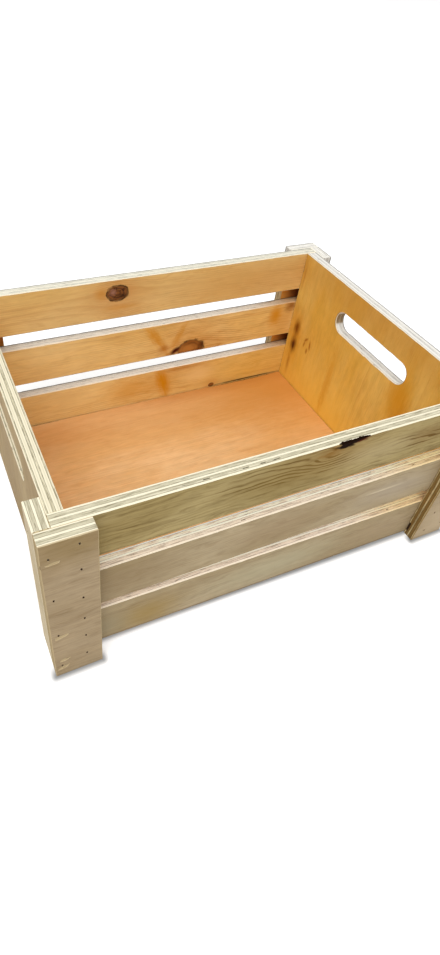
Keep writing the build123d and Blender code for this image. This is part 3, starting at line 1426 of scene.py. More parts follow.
@dataclass
class Board:
    """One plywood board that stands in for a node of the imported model."""

    node: str
    side: Side
    run: GrainRun
    outer: VeneerFinish
    inner: VeneerFinish
    edge: PlyEdgeFinish
    slot: str
    seed: float
    brads: list[BradPlace] = field(default_factory=list)
    chips: tuple[Chip, ...] = ()
    notches: tuple[Notch, ...] = ()
    holes: tuple[Hole, ...] = ()
    step: float = OUTLINE_STEP
    rings: int = PLY_RINGS
    groove: float = 0.12 * MILLIMETRE
    void_depth: float = 1.6 * MILLIMETRE
    chip_depth: float = 0.8 * MILLIMETRE

    @property
    def box(self) -> np.ndarray:
        """The node's lowest and highest corners."""
        return np.array(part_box(self.node))

    @property
    def thickness(self) -> float:
        """The board's thickness, outer face to inner face."""
        low, high = self.box
        return float(abs((high - low) @ np.array(self.side.outward)))

    def place(self) -> Matrix:
        """Gives the board's own axes: X along the board, Z from the outer face inwards.

        Returns:
            The matrix from the board's own axes to the shared frame.
        """
        inward = -self.side.outward
        long = Vector((0, 1, 0)) if abs(inward.x) > SAME_WAY else Vector((1, 0, 0))
        wide = inward.cross(long)
        low, high = self.box
        outer = high if sum(self.side.value) > 0 else low
        origin = self.side.outward * float(np.array(self.side.outward) @ outer)
        turn = Matrix((long, wide, inward)).transposed()
        return Matrix.Translation(origin) @ turn.to_4x4()

    def flat(self, spots: np.ndarray) -> np.ndarray:
        """Gives places of the shared frame in the board's plane."""
        back = np.array(self.place().inverted())
        return (spots @ back[:3, :3].T + back[:3, 3])[:, :2]

    def flat_spot(self, spot: Place | Vector) -> np.ndarray:
        """Gives one place of the shared frame in the board's plane."""
        return self.flat(np.array([spot]))[0]

    def node_spots(self) -> np.ndarray:
        """Gives the corners of the node's own mesh."""
        return np.array([vert.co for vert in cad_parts[self.node].data.vertices])

    def corners(self) -> np.ndarray:
        """Gives the corners of the outline in the board's plane, counter-clockwise.

        Returns:
            The four corners.
        """
        (left, right), (bottom, top) = np.sort(self.flat(self.box), axis=0).T
        return np.array([(left, bottom), (right, bottom), (right, top), (left, top)])

    def loops(self) -> list[Loop]:
        """Gives the board's outlines."""
        return [rounded_loop(self.corners(), self.step)]

    def breaks(self, points: np.ndarray, normals: np.ndarray) -> tuple[np.ndarray, np.ndarray]:
        """Tells how far the arris is broken away at each outline point, and how dark its bared wood
        is painted.

        Args:
            points: The outline's points in the board's plane.
            normals: The directions that face off the board there.

        Returns:
            The depth at each point, less than 0 on the inner face, and how dark the bared wood is
            painted there.
        """
        depth, shade_and_bark = np.zeros((2, len(points)))
        turn = self.place().to_3x3().inverted()
        for notch in self.notches:
            edge = np.array(turn @ Vector(notch.edge))[:2]
            chosen = (normals @ edge) > SAME_WAY
            bitten = notch.depths(points[chosen, 0])
            depth[chosen] += bitten
            shade_and_bark[chosen] = np.where(bitten != 0, notch.shade_and_bark, shade_and_bark[chosen])
        return depth, shade_and_bark

    def hollow(self, points: np.ndarray) -> tuple[np.ndarray, np.ndarray]:
        """Finds the open voids along the outline.

        Args:
            points: The outline's points in the board's plane.

        Returns:
            The void's half height at each point, 0 for none, and how deep in the ply it lies.
        """
        high, ply = np.zeros((2, len(points)))
        for hole in self.holes:
            near = np.linalg.norm(points - self.flat_spot(hole.place), axis=1) < hole.reach
            high[near] = hole.high
            ply[near] = hole.ply
        return high, ply

    def recesses(self) -> list[Recess]:
        """Gives the chips in the outer face, and the pits of the brads driven in there.

        Returns:
            The recesses, with their rims in the board's plane.
        """
        way = math.copysign(1.0, self.place()[2][1])
        found = [Recess(chip.rim(self.flat_spot(chip.place), way), chip.depth)
                 for chip in self.chips]
        low, high = np.sort(self.flat(self.box), axis=0)
        for brad in self.brads:
            depth = (self.place().inverted() @ brad.head).z
            spot = self.flat_spot(brad.head)
            from_here = brad.drive.dot(self.side.outward) < -SAME_WAY and 0 < depth < PIT_REACH
            if from_here and np.all((spot > low) & (spot < high)):
                half = np.array([brad.thick, brad.wide]) / 2 + PIT_SLACK
                # A brad's pit is painted fully dark, as the shade in it
                found.append(Recess(spot + np.array(PIT_RIM) * half, depth + PIT_CLEAR, 1.0))
        return found

    def outline(self, recesses: list[Recess]) -> bpy.types.Mesh:
        """Makes the mesh of loose edges that the board's tree starts from.

        Args:
            recesses: The recesses in the board's outer face.

        Returns:
            The mesh, which carries what the tree reads at its points.
        """
        grain = (0.0, 1.0) if self.run is GrainRun.END_UPRIGHT else (1.0, 0.0)
        lines = [*self.loops(), *(recess.loop() for recess in recesses)]
        counts = [len(line.points) for line in lines]
        points = np.concatenate([line.points for line in lines])
        normals = np.concatenate([line.normals for line in lines])
        edges = []
        for count in counts:
            start = len(edges)
            edges += [(start + index, start + (index + 1) % count) for index in range(count)]
        level = np.zeros(len(points))
        made = bpy.data.meshes.new(self.node + "_outline")
        made.from_pydata(np.column_stack([points, level]).tolist(), edges, [])
        depth, shade_and_bark = self.breaks(points, normals)
        high, ply = self.hollow(points)
        away = np.linalg.norm(points[:, None] - self.corners(), axis=2).min(axis=1)
        for name, values in (
                ("pit", np.repeat([line.pit for line in lines], counts)),
                ("rim", np.repeat([line.rim for line in lines], counts)),
                ("facing", abs(normals @ np.array(grain))), ("notch", depth), ("shade_and_bark", shade_and_bark),
                ("hole", high), ("hole_ply", ply),
                ("give", np.where(away < CORNER_ZONE, CORNER_WEAR, self.thickness))):
            made.attributes.new(name, "FLOAT", "POINT").data.foreach_set("value", values)
        outward = np.column_stack([normals, level]).ravel()
        made.attributes.new("out", "FLOAT_VECTOR", "POINT").data.foreach_set("vector", outward)
        return made

    def build(self) -> None:
        """Builds the board and puts it in place of its node."""
        recesses = self.recesses()
        name = self.node + "_board"
        mesh = grown(name, self.outline(recesses), SawnBoardTree().tree(), {
            "Thickness": self.thickness, "Rings": self.rings, "Groove": self.groove,
            "Void Depth": self.void_depth, "Chip": self.chip_depth, "Seed": self.seed,
            "Outer Finish": self.outer.material(), "Inner Finish": self.inner.material(),
            "Edge Finish": self.edge.material()})
        self.close(mesh, recesses)
        mesh.transform(self.place())
        cut = mesh.attributes.new("cut", "FLOAT", "POINT")
        cut.data.foreach_set("value", np.full(len(mesh.vertices), self.seed))
        for spare in SPARE_ATTRIBUTES:
            if spare in mesh.attributes:
                mesh.attributes.remove(mesh.attributes[spare])
        settle(name, mesh, self.node)

    def close(self, mesh: bpy.types.Mesh, recesses: list[Recess]) -> None:
        """Closes the recesses with walls and floors, welds the mesh and turns its faces out.

        Args:
            mesh: The board's mesh, in its own axes.
            recesses: The recesses in its outer face.
        """
        names = [material.name for material in mesh.materials]
        edge_index = names.index(self.edge.name)
        work = bmesh.new()
        work.from_mesh(mesh)
        ply, facing, void = (work.verts.layers.float[name] for name in ("ply", "facing", "void"))
        # The weld with the bare face has halved the hollows on the outer rim
        for vert in work.verts:
            if vert[ply] < WELD:
                vert[void] = min(2 * vert[void], 1.0)
        for recess in recesses:
            middle = recess.rim.mean(axis=0)
            floor = middle + (recess.rim - middle) * RECESS_TAPER
            top = [work.verts.new((*spot, 0.0)) for spot in recess.rim]
            bottom = [work.verts.new((*spot, recess.depth)) for spot in floor]
            # Painted shade: a brad pit's walls and floor take the dark hollow colour; a chip stays
            # bare wood
            for vert in bottom:
                vert[ply] = recess.depth / self.thickness
                vert[facing] = 1.0 - recess.dirt
            for vert in (*top, *bottom):
                vert[void] = recess.dirt
            work.faces.new(bottom).material_index = edge_index
            for index in range(len(top)):
                wall = (top[index - 1], top[index], bottom[index], bottom[index - 1])
                work.faces.new(wall).material_index = edge_index
        bmesh.ops.remove_doubles(work, verts=work.verts, dist=2 * WELD)
        bmesh.ops.recalc_face_normals(work, faces=work.faces)
        work.to_mesh(mesh)
        work.free()


@dataclass
class Slat(Board):
    """A slat of the front or back wall, which may lean along its length."""

    end_reach: float = 1.0 * MILLIMETRE

    def corners(self) -> np.ndarray:
        """Gives the corners from the heights of the node's two ends.

        Returns:
            The corners in the board's plane, counter-clockwise.
        """
        flat = self.flat(self.node_spots())
        left, right = flat[:, 0].min(), flat[:, 0].max()
        first = flat[flat[:, 0] < left + self.end_reach, 1]
        second = flat[flat[:, 0] > right - self.end_reach, 1]
        return np.array([(left, first.min()), (right, second.min()),
                         (right, second.max()), (left, first.max())])


@dataclass
class EndPanel(Board):
    """An end of the box, with a round-ended hand slot."""

    slot_ease: float = 1.0 * MILLIMETRE
    rim_margin: float = 8.0 * MILLIMETRE
    slot_zone: float = 0.5

    def loops(self) -> list[Loop]:
        """Gives the panel's outline and that of its hand slot, read from the node.

        Returns:
            The two outlines.
        """
        spots = self.node_spots()
        on_face = abs(spots[:, 0]) < abs(spots[:, 0]).min() + WELD
        upper = spots[:, 2] > spots[:, 2].max() * self.slot_zone
        flat = self.flat(spots)
        low, high = flat.min(axis=0) + self.rim_margin, flat.max(axis=0) - self.rim_margin
        inside = flat[on_face & upper & np.all((flat > low) & (flat < high), axis=1)]
        lowest, highest = inside.min(axis=0), inside.max(axis=0)
        long, tall = ((highest - lowest) / 2 - self.slot_ease).tolist()
        slot = stadium_loop((lowest + highest) / 2, long, tall, self.slot_ease)
        return [*super().loops(), slot]


@dataclass
class BradSet:
    """The brads of one node."""

    node: str
    finish: BradFinish = BradFinish()
    slot: str = "brad_steel"
    shank_share: float = 0.65
    head_height: float = 0.8 * MILLIMETRE
    point: float = 1.6 * MILLIMETRE
    tip: float = 0.08 * MILLIMETRE
    places: list[BradPlace] = field(init=False)

    def __post_init__(self) -> None:
        """Reads the brads' places from the node."""
        self.places = brad_places(self.node)

    def build(self) -> None:
        """Builds the brads and puts them in place of their node."""
        first = self.places[0]
        name = self.node + "_wire"
        heads = bpy.data.meshes.new(self.node + "_heads")
        heads.from_pydata([tuple(place.head) for place in self.places], [], [])
        drives = np.array([place.drive for place in self.places]).ravel()
        heads.attributes.new("drive", "FLOAT_VECTOR", "POINT").data.foreach_set("vector", drives)
        mesh = grown(name, heads, DrivenBradTree().tree(), {
            "Length": first.length, "Shank Width": first.wide * self.shank_share,
            "Shank Thickness": first.thick, "Head Width": first.wide,
            "Head Height": self.head_height, "Point": self.point, "Tip": self.tip,
            "Finish": self.finish.material()})
        settle(name, mesh, self.node)


@dataclass(frozen=True)
class Studio:
    """The white ground, the soft light and the camera."""

    ground_half: float = 4.0
    sky_level: float = 0.66
    lamp_place: Place = (-0.7, -0.95, 2.2)
    lamp_size: float = 2.2
    lamp_watts: float = 40.0
    camera_place: Place = (-0.23976, -0.37913, 0.47576)
    camera_turn: Place = (45.886, -5.035, -24.893)
    lens: float = 21.631
    sensor: float = 36.0
    shift: tuple[float, float] = (0.03492, -0.0324)
    nearest: float = 0.01

    def build(self) -> None:
        """Builds the ground, the light and the camera."""
        self.lay_ground()
        self.light()
        self.set_camera()
        bpy.context.scene.view_settings.view_transform = "Standard"

    def lay_ground(self) -> None:
        """Lays the white ground under the box."""
        reach = self.ground_half
        mesh = bpy.data.meshes.new("studio_ground")
        mesh.from_pydata([(-reach, -reach, 0), (reach, -reach, 0), (reach, reach, 0),
                          (-reach, reach, 0)], [], [(0, 1, 2, 3)])
        mesh.materials.append(BackdropFinish().material())
        put("studio_ground", mesh)

    def light(self) -> None:
        """Lights the box from a pale sky, white to looking rays, and one broad lamp."""
        world = bpy.data.worlds.new("studio sky")
        bpy.context.scene.world = world
        world.use_nodes = True
        world.node_tree.nodes.clear()
        draft = Draft(world.node_tree)
        level = draft.ease(looking_ray(draft), 0.0, 1.0, self.sky_level, 1.0)
        sky = draft.take("ShaderNodeBackground", {
            "Color": (1.0, 1.0, 1.0, 1.0), "Strength": level})
        draft.node("ShaderNodeOutputWorld", {"Surface": sky})
        data = bpy.data.lights.new("broad lamp", "AREA")
        data.shape = "DISK"
        data.size = self.lamp_size
        data.energy = self.lamp_watts
        lamp = put("broad lamp", data)
        lamp.location = self.lamp_place
        aim = -Vector(self.lamp_place)
        lamp.rotation_euler = aim.to_track_quat("-Z", "Y").to_euler()

    def set_camera(self) -> None:
        """Sets the camera at the photograph's viewing angle."""
        data = bpy.data.cameras.new("camera")
        data.sensor_width = self.sensor
        data.lens = self.lens
        data.shift_x, data.shift_y = self.shift
        data.clip_start = self.nearest
        camera = put("camera", data)
        camera.location = self.camera_place
        camera.rotation_euler = [math.radians(angle) for angle in self.camera_turn]
        bpy.context.scene.camera = camera


# Finishes of the faces

BARK = paint(26, 11, 4)
BARK_RED = paint(84, 36, 20)
AMBER = paint(210, 142, 4)
RUSSET = paint(166, 98, 20)

WARM_SLAT = VeneerFinish(
    "warm slat veneer", GrainRun.WALL, paint(238, 207, 138), paint(230, 190, 108),
    paint(184, 126, 52), band_strength=0.4, line_strength=0.38, dash_strength=0.34,
    knots=(Knot(-0.0505, 0.1645, 0.0125, 0.0095, 0.97, 0.9, paint(86, 52, 33), lines=0.3),
           Knot(0.0445, 0.0745, 0.0182, 0.0135, 0.92, 0.0, paint(104, 56, 14), lines=0.4),
           Knot(0.081, 0.0095, 0.004, 0.0032, 0.9, heart=paint(124, 72, 22))),
    patches=(Patch(0.0, 0.157, 0.4, 0.035, paint(214, 180, 122), 0.5, 0.1),
             Patch(0.13, 0.157, 0.1, 0.03, paint(202, 148, 74), 0.45, 0.2),
             Patch(0.15, 0.03, 0.1, 0.035, paint(226, 184, 70), 0.5, 0.1),
             Patch(0.06, 0.034, 0.022, 0.014, paint(250, 220, 156), 0.7, 0.3),
             Patch(0.175, 0.088, 0.018, 0.028, AMBER, 0.4, 0.3),
             Patch(-0.13, 0.06, 0.1, 0.08, paint(248, 222, 166), 0.42, 0.2),
             Patch(0.1615, 0.1, 0.0095, 0.014, AMBER, 0.85, softness=0.9),
             Patch(-0.068, 0.166, 0.007, 0.007, AMBER, 0.45, 0.5),
             Patch(-0.046, 0.147, 0.02, 0.0035, AMBER, 0.4),
             Patch(-0.002, 0.0975, 0.025, 0.006, AMBER, 0.72, 0.8, slant=-56),
             Patch(0.0085, 0.0815, 0.0065, 0.005, RUSSET, 0.65, 0.6),
             Patch(0.0267, 0.0947, 0.018, 0.0048, AMBER, 0.55, 0.8, slant=63),
             Patch(0.0105, 0.03, 0.026, 0.008, AMBER, 1.0, 0.6, slant=-74),
             Patch(0.012, 0.03, 0.02, 0.022, AMBER, 0.35, 0.3),
             Patch(-0.032, 0.031, 0.034, 0.02, AMBER, 0.55),
             Patch(0.035, 0.047, 0.025, 0.003, RUSSET, 0.45, softness=0.9)),
    spots=(Patch(-0.0555, 0.1655, 0.0038, 0.0036, paint(160, 116, 98), 0.8, 0.9, softness=0.9),
           Patch(-0.045, 0.1605, 0.006, 0.003, paint(44, 24, 14), 0.75, 0.6),
           Patch(0.0405, 0.0752, 0.0125, 0.0062, paint(186, 126, 60), 0.9, 0.35, softness=0.8),
           Patch(0.0585, 0.078, 0.004, 0.006, paint(84, 44, 12), 0.7, softness=0.9),
           # Painted shade: a dark line where the half knot meets the slat's lower edge
           Patch(0.042, 0.0697, 0.018, 0.0014, paint(56, 24, 12), 0.95, 0.3, softness=0.7),
           Patch(0.0235, 0.0755, 0.0078, 0.0036, paint(70, 18, 4), 1.0, 0.3, softness=0.7, slant=38),
           Patch(0.1825, 0.11, 0.0085, 0.0075, paint(132, 70, 0), 0.8, 0.7),
           # Painted shade: a dark line on the low back slat just above the floor, over the gap at
           # the floor's back edge
           Patch(0.135, 0.0078, 0.052, 0.0012, paint(84, 42, 12), 0.9, 0.35, softness=0.7)))
PLAIN_WARM_SLAT = replace(
    WARM_SLAT, name="plain warm slat veneer", knots=(), spots=(),
    patches=(Patch(0.06, 0.15, 0.03, 0.012, AMBER, 0.35),
             Patch(-0.1, 0.095, 0.025, 0.01, AMBER, 0.35),
             Patch(0.02, 0.03, 0.03, 0.012, AMBER, 0.35)))
WARM_END = VeneerFinish(
    "warm end veneer", GrainRun.END_UPRIGHT, paint(232, 194, 104), paint(224, 177, 74),
    paint(182, 118, 38), band_strength=0.22, line_strength=0.1, fibre_strength=0.14,
    blotch_strength=0.85, dash_strength=0.14,
    knots=(Knot(0.072, 0.1235, 0.010, 0.0042, 0.0, 0.0, lines=0.4),
           Knot(0.078, 0.096, 0.008, 0.0055, 0.0, 0.0, lines=0.3)),
    patches=(Patch(0.174, 0.0, 0.034, 0.2, paint(188, 128, 52), 0.5, 0.15),
             Patch(0.0, 0.05, 0.065, 0.11, paint(254, 208, 86), 0.7, 0.2),
             Patch(0.072, 0.123, 0.036, 0.012, AMBER, 0.6, 0.6),
             Patch(0.054, 0.043, 0.048, 0.0056, AMBER, 0.5, 0.8),
             Patch(0.033, 0.1245, 0.014, 0.003, RUSSET, 0.55, 0.6),
             Patch(0.118, -0.06, 0.026, 0.016, AMBER, 0.65),
             Patch(0.09, -0.071, 0.03, 0.014, AMBER, 0.6),
             Patch(0.153, 0.133, 0.014, 0.0016, RUSSET, 0.4)),
    spots=(Patch(0.0865, 0.1232, 0.0105, 0.0056, paint(122, 68, 0), 0.95),
           Patch(0.062, 0.1225, 0.0115, 0.0058, paint(106, 50, 0), 0.95),
           Patch(0.0605, 0.1222, 0.005, 0.0026, paint(74, 34, 2), 0.75),
           Patch(0.0825, 0.1, 0.0045, 0.0018, RUSSET, 0.85, 0.5, softness=0.9, slant=-40),
           Patch(0.075, 0.102, 0.004, 0.0016, RUSSET, 0.8, 0.5, softness=0.9, slant=-8),
           Patch(0.079, 0.091, 0.006, 0.0017, RUSSET, 0.85, 0.5, softness=0.9, slant=8),
           Patch(0.069, 0.0947, 0.0036, 0.002, RUSSET, 0.85, 0.5, softness=0.9)))
PLAIN_WARM_END = replace(
    WARM_END, name="plain warm end veneer", knots=(), spots=(),
    patches=(Patch(0.08, 0.07, 0.04, 0.009, AMBER, 0.4, 0.8),
             Patch(0.05, -0.06, 0.03, 0.008, AMBER, 0.4, 0.8)))
FLOOR_TOP = VeneerFinish(
    "floor veneer", GrainRun.FLOOR, paint(234, 191, 138), paint(226, 175, 112),
    paint(196, 128, 66), wander=0.06, band_width=0.012, band_strength=0.16, line_strength=0.14,
    fibre_strength=0.3, dash_strength=0.22,
    # Painted light and shade: warmer orange towards the right end, as light thrown back by the right
    # panel, and darker along the back wall, as the shade there
    patches=(Patch(0.17, 0.105, 0.13, 0.085, paint(204, 135, 46), 0.85, 0.15),
             Patch(0.02, 0.11, 0.26, 0.05, paint(204, 146, 80), 0.5, 0.15),
             Patch(0.09, 0.139, 0.15, 0.016, paint(180, 112, 40), 0.6, 0.1),
             Patch(0.2, -0.03, 0.1, 0.09, paint(226, 164, 84), 0.45, 0.15),
             Patch(-0.13, 0.11, 0.06, 0.03, paint(206, 138, 74), 0.25, 0.3)))
OLIVE_SLAT = VeneerFinish(
    "olive slat veneer", GrainRun.WALL, paint(174, 155, 108), paint(154, 133, 84),
    paint(92, 70, 34), band_width=14.5 * MILLIMETRE, curl=10.0 * MILLIMETRE, band_strength=0.3,
    line_strength=0.3, fibre_strength=0.5, dash_strength=0.45, gloss=0.02,
    knots=(Knot(0.034, 0.183, 0.016, 0.010, 0.2, 0.0),
           Knot(0.0155, 0.1725, 0.0085, 0.0055, 0.0, 0.0, lines=0.9)),
    patches=(Patch(-0.02, 0.152, 0.06, 0.016, paint(130, 108, 58), 0.45),
             Patch(-0.005, 0.1625, 0.055, 0.016, paint(146, 120, 68), 0.4, lines=2.0),
             Patch(0.128, 0.160, 0.026, 0.011, paint(130, 100, 56), 0.55, 0.6, lines=1.8),
             Patch(0.075, 0.157, 0.035, 0.012, paint(182, 164, 124), 0.5),
             Patch(0.022, 0.1715, 0.012, 0.005, paint(134, 94, 36), 0.6, 1.0)),
    spots=(Patch(0.0485, 0.1788, 0.0092, 0.0034, BARK_RED, 1.0, 0.9, softness=0.4),
           Patch(0.0445, 0.1792, 0.0085, 0.0026, BARK, 1.0, 0.9, softness=0.4),
           Patch(0.0355, 0.1766, 0.0098, 0.0042, BARK, 1.0, 0.8, softness=0.35)))
GREY_SLAT = VeneerFinish(
    "grey slat veneer", GrainRun.WALL, paint(180, 162, 130), paint(158, 138, 102),
    paint(118, 94, 58), curl=8.0 * MILLIMETRE, band_strength=0.25, line_strength=0.22,
    dash_strength=0.35)
MIDDLE_SLAT = replace(
    GREY_SLAT, name="middle slat veneer",
    patches=(Patch(-0.15, 0.09, 0.06, 0.03, paint(134, 110, 74), 0.55, 0.3),
             Patch(-0.01, 0.092, 0.05, 0.02, paint(158, 134, 104), 0.4, 0.3),
             Patch(0.12, 0.092, 0.05, 0.016, paint(178, 164, 146), 0.55, 0.3),
             Patch(0.105, 0.096, 0.02, 0.0015, paint(226, 210, 176), 0.5, 0.8)))
LOW_SLAT_LEAN = -1.644
LOW_SLAT = replace(
    GREY_SLAT, name="low slat veneer",
    patches=(Patch(-0.127, 0.028, 0.026, 0.02, paint(158, 130, 72), 0.7),
             Patch(-0.165, 0.03, 0.02, 0.016, paint(158, 146, 118), 0.5, 0.3),
             Patch(0.0, 0.03, 0.07, 0.02, paint(186, 178, 148), 0.55, 0.3),
             Patch(0.13, 0.024, 0.05, 0.02, paint(166, 144, 114), 0.5, 0.3),
             # Painted shade: a darker line along the low slat's bottom edge, by the ground
             Patch(0.0, 0.0078, 0.26, 0.0018, paint(100, 80, 60), 0.6, 0.2, slant=LOW_SLAT_LEAN)))
GREY_END = VeneerFinish(
    "grey end veneer", GrainRun.END_UPRIGHT, paint(176, 153, 113), paint(158, 133, 94),
    paint(121, 95, 57), curl=6.0 * MILLIMETRE, band_strength=0.2, line_strength=0.16,
    dash_strength=0.3)
GREY_POST = VeneerFinish(
    "grey post veneer", GrainRun.WALL, paint(170, 149, 118), paint(154, 132, 99),
    paint(116, 92, 58), curl=7.0 * MILLIMETRE, band_strength=0.12, line_strength=0.16,
    dash_strength=0.35,
    patches=(Patch(-0.19, 0.172, 0.03, 0.02, paint(138, 114, 66), 0.5),
             Patch(0.2, 0.03, 0.03, 0.06, paint(200, 180, 148), 0.6, 0.2)))
GREY_POST_SIDE = VeneerFinish(
    "grey post side veneer", GrainRun.END_LEVEL, paint(206, 190, 158), paint(188, 169, 132),
    paint(144, 120, 82), curl=5.0 * MILLIMETRE, band_strength=0.14, line_strength=0.18,
    dash_strength=0.3)
# Inner faces of the posts, seen through the gaps: darker colours as painted shade, lighter by the
# gap as painted light, and a painted shadow towards the corner
SHADED_POST_BACK = VeneerFinish(
    "shaded post inner veneer", GrainRun.WALL, paint(186, 124, 58), paint(150, 88, 34),
    paint(98, 52, 18), band_strength=0.5,
    patches=(Patch(0.17, 0.09, 0.012, 0.3, paint(244, 176, 84), 0.75, 0.1),
             Patch(0.198, 0.09, 0.012, 0.3, paint(104, 26, 2), 0.7, 0.1)))
# The same shade-darkened colours, on the side boards' inner faces
POST_SIDE_BACK = VeneerFinish(
    "post side inner veneer", GrainRun.END_LEVEL, paint(186, 124, 58), paint(150, 88, 34),
    paint(98, 52, 18), band_strength=0.5)

# Finishes of the sawn edges

RIM_EDGE = PlyEdgeFinish("rim ply edge", GrainRun.WALL, hollow=BARK)
BACK_RIM_EDGE = PlyEdgeFinish(
    "back rim ply edge", GrainRun.WALL, paint(242, 236, 216), paint(230, 226, 208),
    paint(158, 153, 140), arris=paint(252, 234, 198), outline=paint(150, 150, 146),
    outer_line=0.8)
# The inner_lift of this edge and of STRAW_EDGE paints the inner half of the front slats' top edges
# lighter, to offset the shade it gets inside the box
BLUSH_EDGE = PlyEdgeFinish(
    "blush ply edge", GrainRun.WALL, paint(244, 231, 211), paint(236, 220, 198),
    paint(140, 117, 96), arris=paint(238, 224, 199), inner_lift=0.38,
    patches=(Patch(0.2, 0.09, 0.1, 1.0, paint(252, 240, 205), 1.0, 0.1, softness=0.6),))
STRAW_EDGE = replace(
    BLUSH_EDGE, name="straw ply edge", long=paint(245, 234, 218), end=paint(238, 224, 206))
# Top edges of the back slats, seen in the gaps: colours painted lighter to offset the gaps' shade,
# and a patch at the right ends painting the shade and warm reflected light by the right panel
SHADE_EDGE = PlyEdgeFinish(
    "shade ply edge", GrainRun.WALL, paint(240, 229, 212), paint(234, 224, 208),
    paint(170, 160, 148), arris=paint(250, 228, 188), outline=paint(112, 108, 104),
    outer_line=0.85,
    patches=(Patch(0.2, 0.09, 0.06, 1.0, paint(214, 174, 118), 0.85, 0.1),))
END_EDGE = PlyEdgeFinish(
    "end ply edge", GrainRun.END_UPRIGHT, paint(236, 220, 184), paint(216, 197, 158),
    turned_long=paint(235, 226, 199), turned_end=paint(208, 199, 169),
    turned_glue=paint(92, 82, 56), split=0.6)
# Its plain colours are darkened as painted shade; they show where the edge runs up and down, as at
# the round ends of the hand slot, while the rim and the slot's long sides keep the pale turned
# colours
WHITE_END_EDGE = PlyEdgeFinish(
    "white end ply edge", GrainRun.END_UPRIGHT, paint(176, 154, 122), paint(150, 128, 96),
    paint(112, 98, 78), turned_long=paint(234, 230, 221), turned_end=paint(226, 222, 213),
    turned_glue=paint(168, 165, 159), arris=paint(252, 238, 206), outline=paint(158, 157, 155),
    split=0.2, outer_line=0.8)
PALE_EDGE = PlyEdgeFinish(
    "pale ply edge", GrainRun.WALL, paint(250, 247, 238), paint(240, 236, 226),
    paint(168, 164, 157), turned_long=paint(216, 211, 202), turned_end=paint(206, 200, 190),
    turned_glue=paint(150, 144, 134), outline=paint(158, 156, 152), outer_line=0.85,
    patches=(Patch(0.0, 0.08, 0.4, 0.092, paint(252, 224, 178), 1.0, 0.0, softness=0.12),))
PALE_SIDE_EDGE = replace(PALE_EDGE, name="pale side ply edge", run=GrainRun.END_LEVEL)
# The front-right post's vertical edges take darker turned colours than PALE_POST_EDGE: end grain,
# and painted shade from the slats beside them
POST_EDGE = PlyEdgeFinish(
    "post ply edge", GrainRun.WALL, turned_long=paint(128, 100, 56),
    turned_end=paint(206, 185, 138), turned_glue=paint(74, 52, 26), arris=paint(140, 112, 66))
PALE_POST_EDGE = PlyEdgeFinish(
    "pale post ply edge", GrainRun.WALL, turned_long=paint(180, 159, 121),
    turned_end=paint(166, 144, 108), turned_glue=paint(130, 106, 70),
    arris=paint(190, 170, 132))
POST_SIDE_EDGE = PlyEdgeFinish("post side ply edge", GrainRun.END_LEVEL)
FLOOR_EDGE = PlyEdgeFinish(
    "floor ply edge", GrainRun.FLOOR, paint(206, 142, 78), paint(190, 124, 62),
    paint(150, 92, 44), paint(84, 44, 14), paint(206, 142, 78), paint(190, 124, 62),
    paint(150, 92, 44), paint(206, 142, 78))

# What sets single boards apart

TOP = (0.0, 0.0, 1.0)
BOTTOM = (0.0, 0.0, -1.0)
REAR = (0.0, 1.0, 0.0)


@dataclass(frozen=True)
class SlatLook:
    """What sets one slat apart: its outer veneer, its edge, and its breaks and voids."""

    outer: VeneerFinish = GREY_SLAT
    edge: PlyEdgeFinish = BLUSH_EDGE
    notches: tuple[Notch, ...] = ()
    holes: tuple[Hole, ...] = ()
    step: float = OUTLINE_STEP


# The back slats' lower inner arris, rounded and painted darker as the shade along the top of each
# gap
SHADED_FOOT = Notch(-0.2, 0.2, BOTTOM, 1.6 * MILLIMETRE, True, shade_and_bark=0.45, ragged=0.1)

SLAT_LOOKS = {
    "front_slat_top": SlatLook(
        OLIVE_SLAT, RIM_EDGE,
        (Notch(0.0262, 0.0425, TOP, 2.9 * MILLIMETRE, taper=0.2, shade_and_bark=1.0, seed=4),
         Notch(0.0405, 0.0572, TOP, 3.0 * MILLIMETRE, taper=0.15, shade_and_bark=1.0, seed=7)),
        tuple(Hole((along, -0.15, 0.18), 2.4 * MILLIMETRE)
              for along in (-0.0288, -0.041, -0.0555, -0.0873)),
        FINE_STEP),
    "front_slat_middle": SlatLook(
        MIDDLE_SLAT, notches=(Notch(-0.175, -0.012, TOP, 1.2 * MILLIMETRE, True, seed=11),),
        holes=(Hole((0.134, -0.15, 0.1155), 1.6 * MILLIMETRE, 0.04),
               Hole((-0.046, -0.15, 0.1155), 1.8 * MILLIMETRE, 0.04)), step=FINE_STEP),
    "front_slat_low": SlatLook(
        LOW_SLAT, STRAW_EDGE, holes=(Hole((0.130, -0.15, 0.053), 1.6 * MILLIMETRE),),
        step=FINE_STEP),
    "back_slat_top": SlatLook(edge=BACK_RIM_EDGE, notches=(SHADED_FOOT,)),
    "back_slat_middle": SlatLook(edge=SHADE_EDGE, notches=(SHADED_FOOT,)),
    "back_slat_low": SlatLook(edge=SHADE_EDGE),
}

NEAR_POST_CHIPS = (
    Chip((-0.2035, -0.162, 0.1585), (0.0062, 0.0016), 8, seed=3),
    Chip((-0.2045, -0.162, 0.0617), (0.0062, 0.0023), 14, seed=5),
    Chip((-0.2035, -0.162, 0.0245), (0.0052, 0.0021), 18, seed=8),
    Chip((-0.2052, -0.162, 0.0125), (0.0053, 0.0021), 18, seed=9),
)
# A hollow at the foot of the front-right post's left edge, painted dark as the shade that falls
# there beside the slats
FOOT_SHADE_HOLE = Hole((0.172, -0.162, 0.012), 6.5 * MILLIMETRE, 0.16, 0.88)
